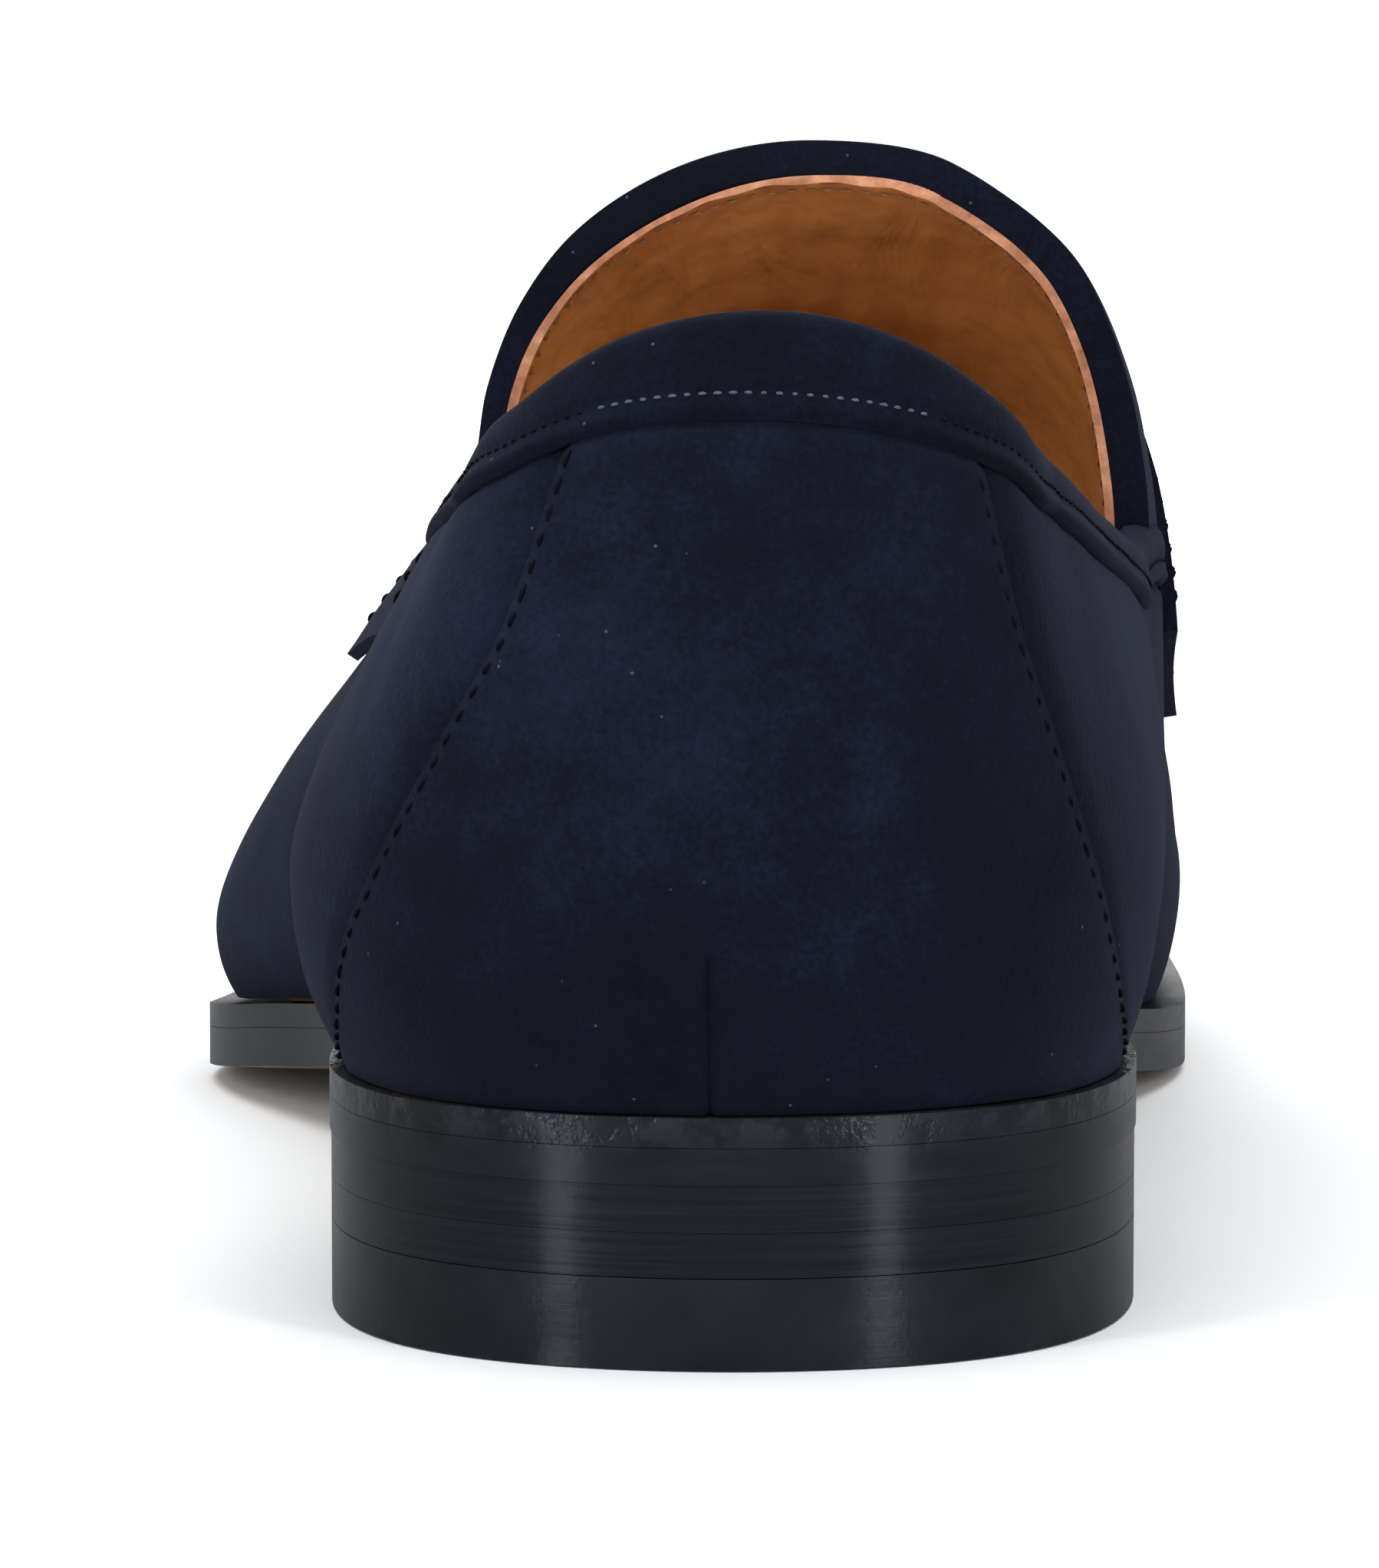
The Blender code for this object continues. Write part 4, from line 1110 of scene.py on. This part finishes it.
def build_sole():
    def welt_under(spot, station, share):
        return seat_height(station) - WELT

    def sole_top(spot, station, share):
        return seat_height(station) - WELT_JOINT

    def sole_under(spot, station, share):
        edge = seat_height(station) - edge_thickness(station)
        return edge - sole_crown(station) * (1 - share ** 2)

    def seat(spot, station, share):
        return seat_height(station)

    made = slab("welt_edge", 0.0, seat, welt_under, SOLE_PAINT)
    keep(crisp(soften(made, 0.6, 4)), "black_edge", "welt")
    made = slab("outsole_leather", 0.0, sole_top, sole_under, SOLE_PAINT, under=SOLE_LEATHER)
    keep(crisp(soften(made, 0.5)), "sole_leather", "outsole")

    def sock_top(spot, station, share):
        return seat_height(station) + SOCK_HIGH + SOCK_CUP * share ** 4

    def sock_under(spot, station, share):
        return seat_height(station) + SOCK_LOW

    made = slab("sock_leather", SOCK_INSET, sock_top, sock_under, SOCK, 160, 24)
    keep(soften(made, 0.4), "lining", "sock_liner")


def heel_layer(name, heights, material, slot, node, edge):
    """One heel layer with its curved breast."""
    a, b = unit_grid(150, 36)
    hollow = BREAST_CURVE * (1 - (2 * b - 1) ** 2)
    u = u_at((HEEL_BREAST - hollow) * np.sin(a * math.pi / 2) ** 2)
    under = mix(plan(-u, HEEL_INSET)[0], plan(u, HEEL_INSET)[0], b[..., None])
    top = under.copy()
    under[..., 2], top[..., 2] = heights
    made = shell(name, top, under, material, ("start",))
    keep(crisp(soften(made, edge)), slot, node)


def build_heel():
    heel_layer("heel_rubber_piece", TOP_PIECE, RUBBER, "rubber", "heel_top_piece", 0.35)
    heel_layer("heel_lift_low", LOWER_LIFT, HEEL_PAINT, "black_edge", "heel_lift_lower", 0.12)
    heel_layer("heel_lift_high", UPPER_LIFT, HEEL_PAINT, "black_edge", "heel_lift_upper", 0.12)


def finish_hidden_nodes():
    """Better materials for the CAD pieces that stay."""
    cork = plain_stock("cork_stock", (0.25, 0.13, 0.05), (0.45, 0.28, 0.14), 500, 0.85)
    board = plain_stock("board_stock", (0.24, 0.15, 0.08), (0.36, 0.24, 0.13), 900, 0.85)
    steel = plain_stock("steel_stock", (0.4, 0.4, 0.42), (0.55, 0.55, 0.57), 300, 0.35, 1.0)
    stiff = plain_stock("stiffener_stock", (0.6, 0.56, 0.48), (0.78, 0.74, 0.66), 1200, 0.8)
    brass = plain_stock("brass_stock", (0.5, 0.34, 0.12), (0.68, 0.5, 0.22), 400, 0.34, 1.0)
    stock = {"cork_filler": cork, "insole_board": board, "steel_shank": steel,
             "heel_stiffener": stiff, "toe_puff": stiff}
    stock.update({"heel_nail_%d" % k: brass for k in range(1, 6)})
    for node, material in stock.items():
        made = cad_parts[node]
        made.data.materials.clear()
        made.data.materials.append(material)


# ------------------------------------------------------------- stage and camera


def build_stage():
    """Pale floor that brightens into the background and stays quiet in reflections."""
    data = bpy.data.meshes.new("floor")
    corners = [(x * FLOOR_REACH, y * FLOOR_REACH, 0) for x, y in ((-1, -1), (1, -1), (1, 1), (-1, 1))]
    data.from_pydata(corners, [], [(0, 1, 2, 3)])
    floor = bpy.data.objects.new("floor", data)
    bpy.context.scene.collection.objects.link(floor)
    n = Nodes("floor_white")
    n.set(Base_Color=(FLOOR_TONE, FLOOR_TONE, FLOOR_TONE, 1), Roughness=0.9,
          Specular_IOR_Level=0.1, Emission_Color=(1, 1, 1, 1))
    away = n.tree.nodes.new("ShaderNodeVectorMath")
    away.operation = "LENGTH"
    n.link(n.place, away.inputs[0])
    n.link(n.band(away.outputs["Value"], *FLOOR_GLOW), n.shader.inputs["Emission Strength"])
    glossy = n.tree.nodes.new("ShaderNodeLightPath").outputs["Is Glossy Ray"]
    grey = n.tree.nodes.new("ShaderNodeBsdfDiffuse")
    grey.inputs["Color"].default_value = (REFLECTED_FLOOR, REFLECTED_FLOOR, REFLECTED_FLOOR, 1)
    mixed = n.tree.nodes.new("ShaderNodeMixShader")
    n.link(glossy, mixed.inputs[0])
    n.link(n.shader.outputs[0], mixed.inputs[1])
    n.link(grey.outputs[0], mixed.inputs[2])
    n.link(mixed.outputs[0], n.tree.nodes["Material Output"].inputs["Surface"])
    data.materials.append(n.material)


def area(name, place, target, size, power, colour=(1, 1, 1)):
    """Rectangular lamp that looks at a target."""
    data = bpy.data.lights.new(name, "AREA")
    data.shape = "RECTANGLE"
    data.size, data.size_y = size
    data.energy = power
    data.color = colour
    lamp = bpy.data.objects.new(name, data)
    lamp.location = place
    lamp.rotation_euler = (Vector(target) - Vector(place)).to_track_quat("-Z", "Y").to_euler()
    bpy.context.scene.collection.objects.link(lamp)


def background(tree, colour, strength):
    node = tree.nodes.new("ShaderNodeBackground")
    node.inputs["Color"].default_value = (*colour, 1)
    node.inputs["Strength"].default_value = strength
    return node.outputs[0]


def build_world():
    """White studio that lights the shoe more softly than it looks."""
    world = bpy.data.worlds.new("studio")
    bpy.context.scene.world = world
    world.use_nodes = True
    tree = world.node_tree
    tree.nodes.clear()
    path = tree.nodes.new("ShaderNodeLightPath")
    mixed = tree.nodes.new("ShaderNodeMixShader")
    out = tree.nodes.new("ShaderNodeOutputWorld")
    tree.links.new(path.outputs["Is Camera Ray"], mixed.inputs[0])
    tree.links.new(background(tree, (0.96, 0.98, 1.0), STUDIO_LIGHT), mixed.inputs[1])
    tree.links.new(background(tree, (1, 1, 1), 1.0), mixed.inputs[2])
    tree.links.new(mixed.outputs[0], out.inputs["Surface"])


def build_light():
    """Two strips behind the heel, a large lamp overhead and a weak one in front."""
    x, y = HEEL_X * MM, HEEL_Y * MM
    for sign, name in ((1, "strip_lateral"), (-1, "strip_medial")):
        aside = sign * STRIP_DISTANCE * math.sin(STRIP_ANGLE)
        place = (x + aside, y + STRIP_DISTANCE * math.cos(STRIP_ANGLE), STRIP_HEIGHT)
        area(name, place, (x, y, STRIP_AIM), STRIP_SIZE, STRIP_POWER, STRIP_COLOUR)
    area("overhead", (0.0, 0.1, 1.9), (0, 0, 0), (2.6, 2.6), 57)
    area("front_fill", (0.3, -1.8, 1.0), (0, 0, 0.05), (1.4, 1.2), 9)
    bpy.context.scene.view_settings.view_transform = "Standard"


def build_camera():
    back = Vector((math.sin(SHOE_TURN), math.cos(SHOE_TURN), 0))
    right = Vector((-math.cos(SHOE_TURN), math.sin(SHOE_TURN), 0))
    heel = Vector((HEEL_X, HEEL_Y, 0))
    spot = heel + back * CAMERA_DISTANCE + right * CAMERA_ASIDE + Vector((0, 0, CAMERA_HEIGHT))
    data = bpy.data.cameras.new("camera")
    camera = bpy.data.objects.new("camera", data)
    bpy.context.scene.collection.objects.link(camera)
    camera.location = spot * MM
    target = Vector(CAMERA_TARGET) * MM
    camera.rotation_euler = (target - camera.location).to_track_quat("-Z", "Y").to_euler()
    data.lens = CAMERA_LENS
    data.clip_start = 0.01
    bpy.context.scene.camera = camera


build_camera()
build_counter()
build_quarter(1, "lateral", 5)
build_quarter(-1, "medial", 7)
build_vamp()
build_apron()
build_moc_seam()
build_collar()
build_seam_stitches()
build_strap()
build_linings()
build_tongue_lining()
build_sole()
build_heel()
finish_hidden_nodes()
build_stage()
build_world()
build_light()
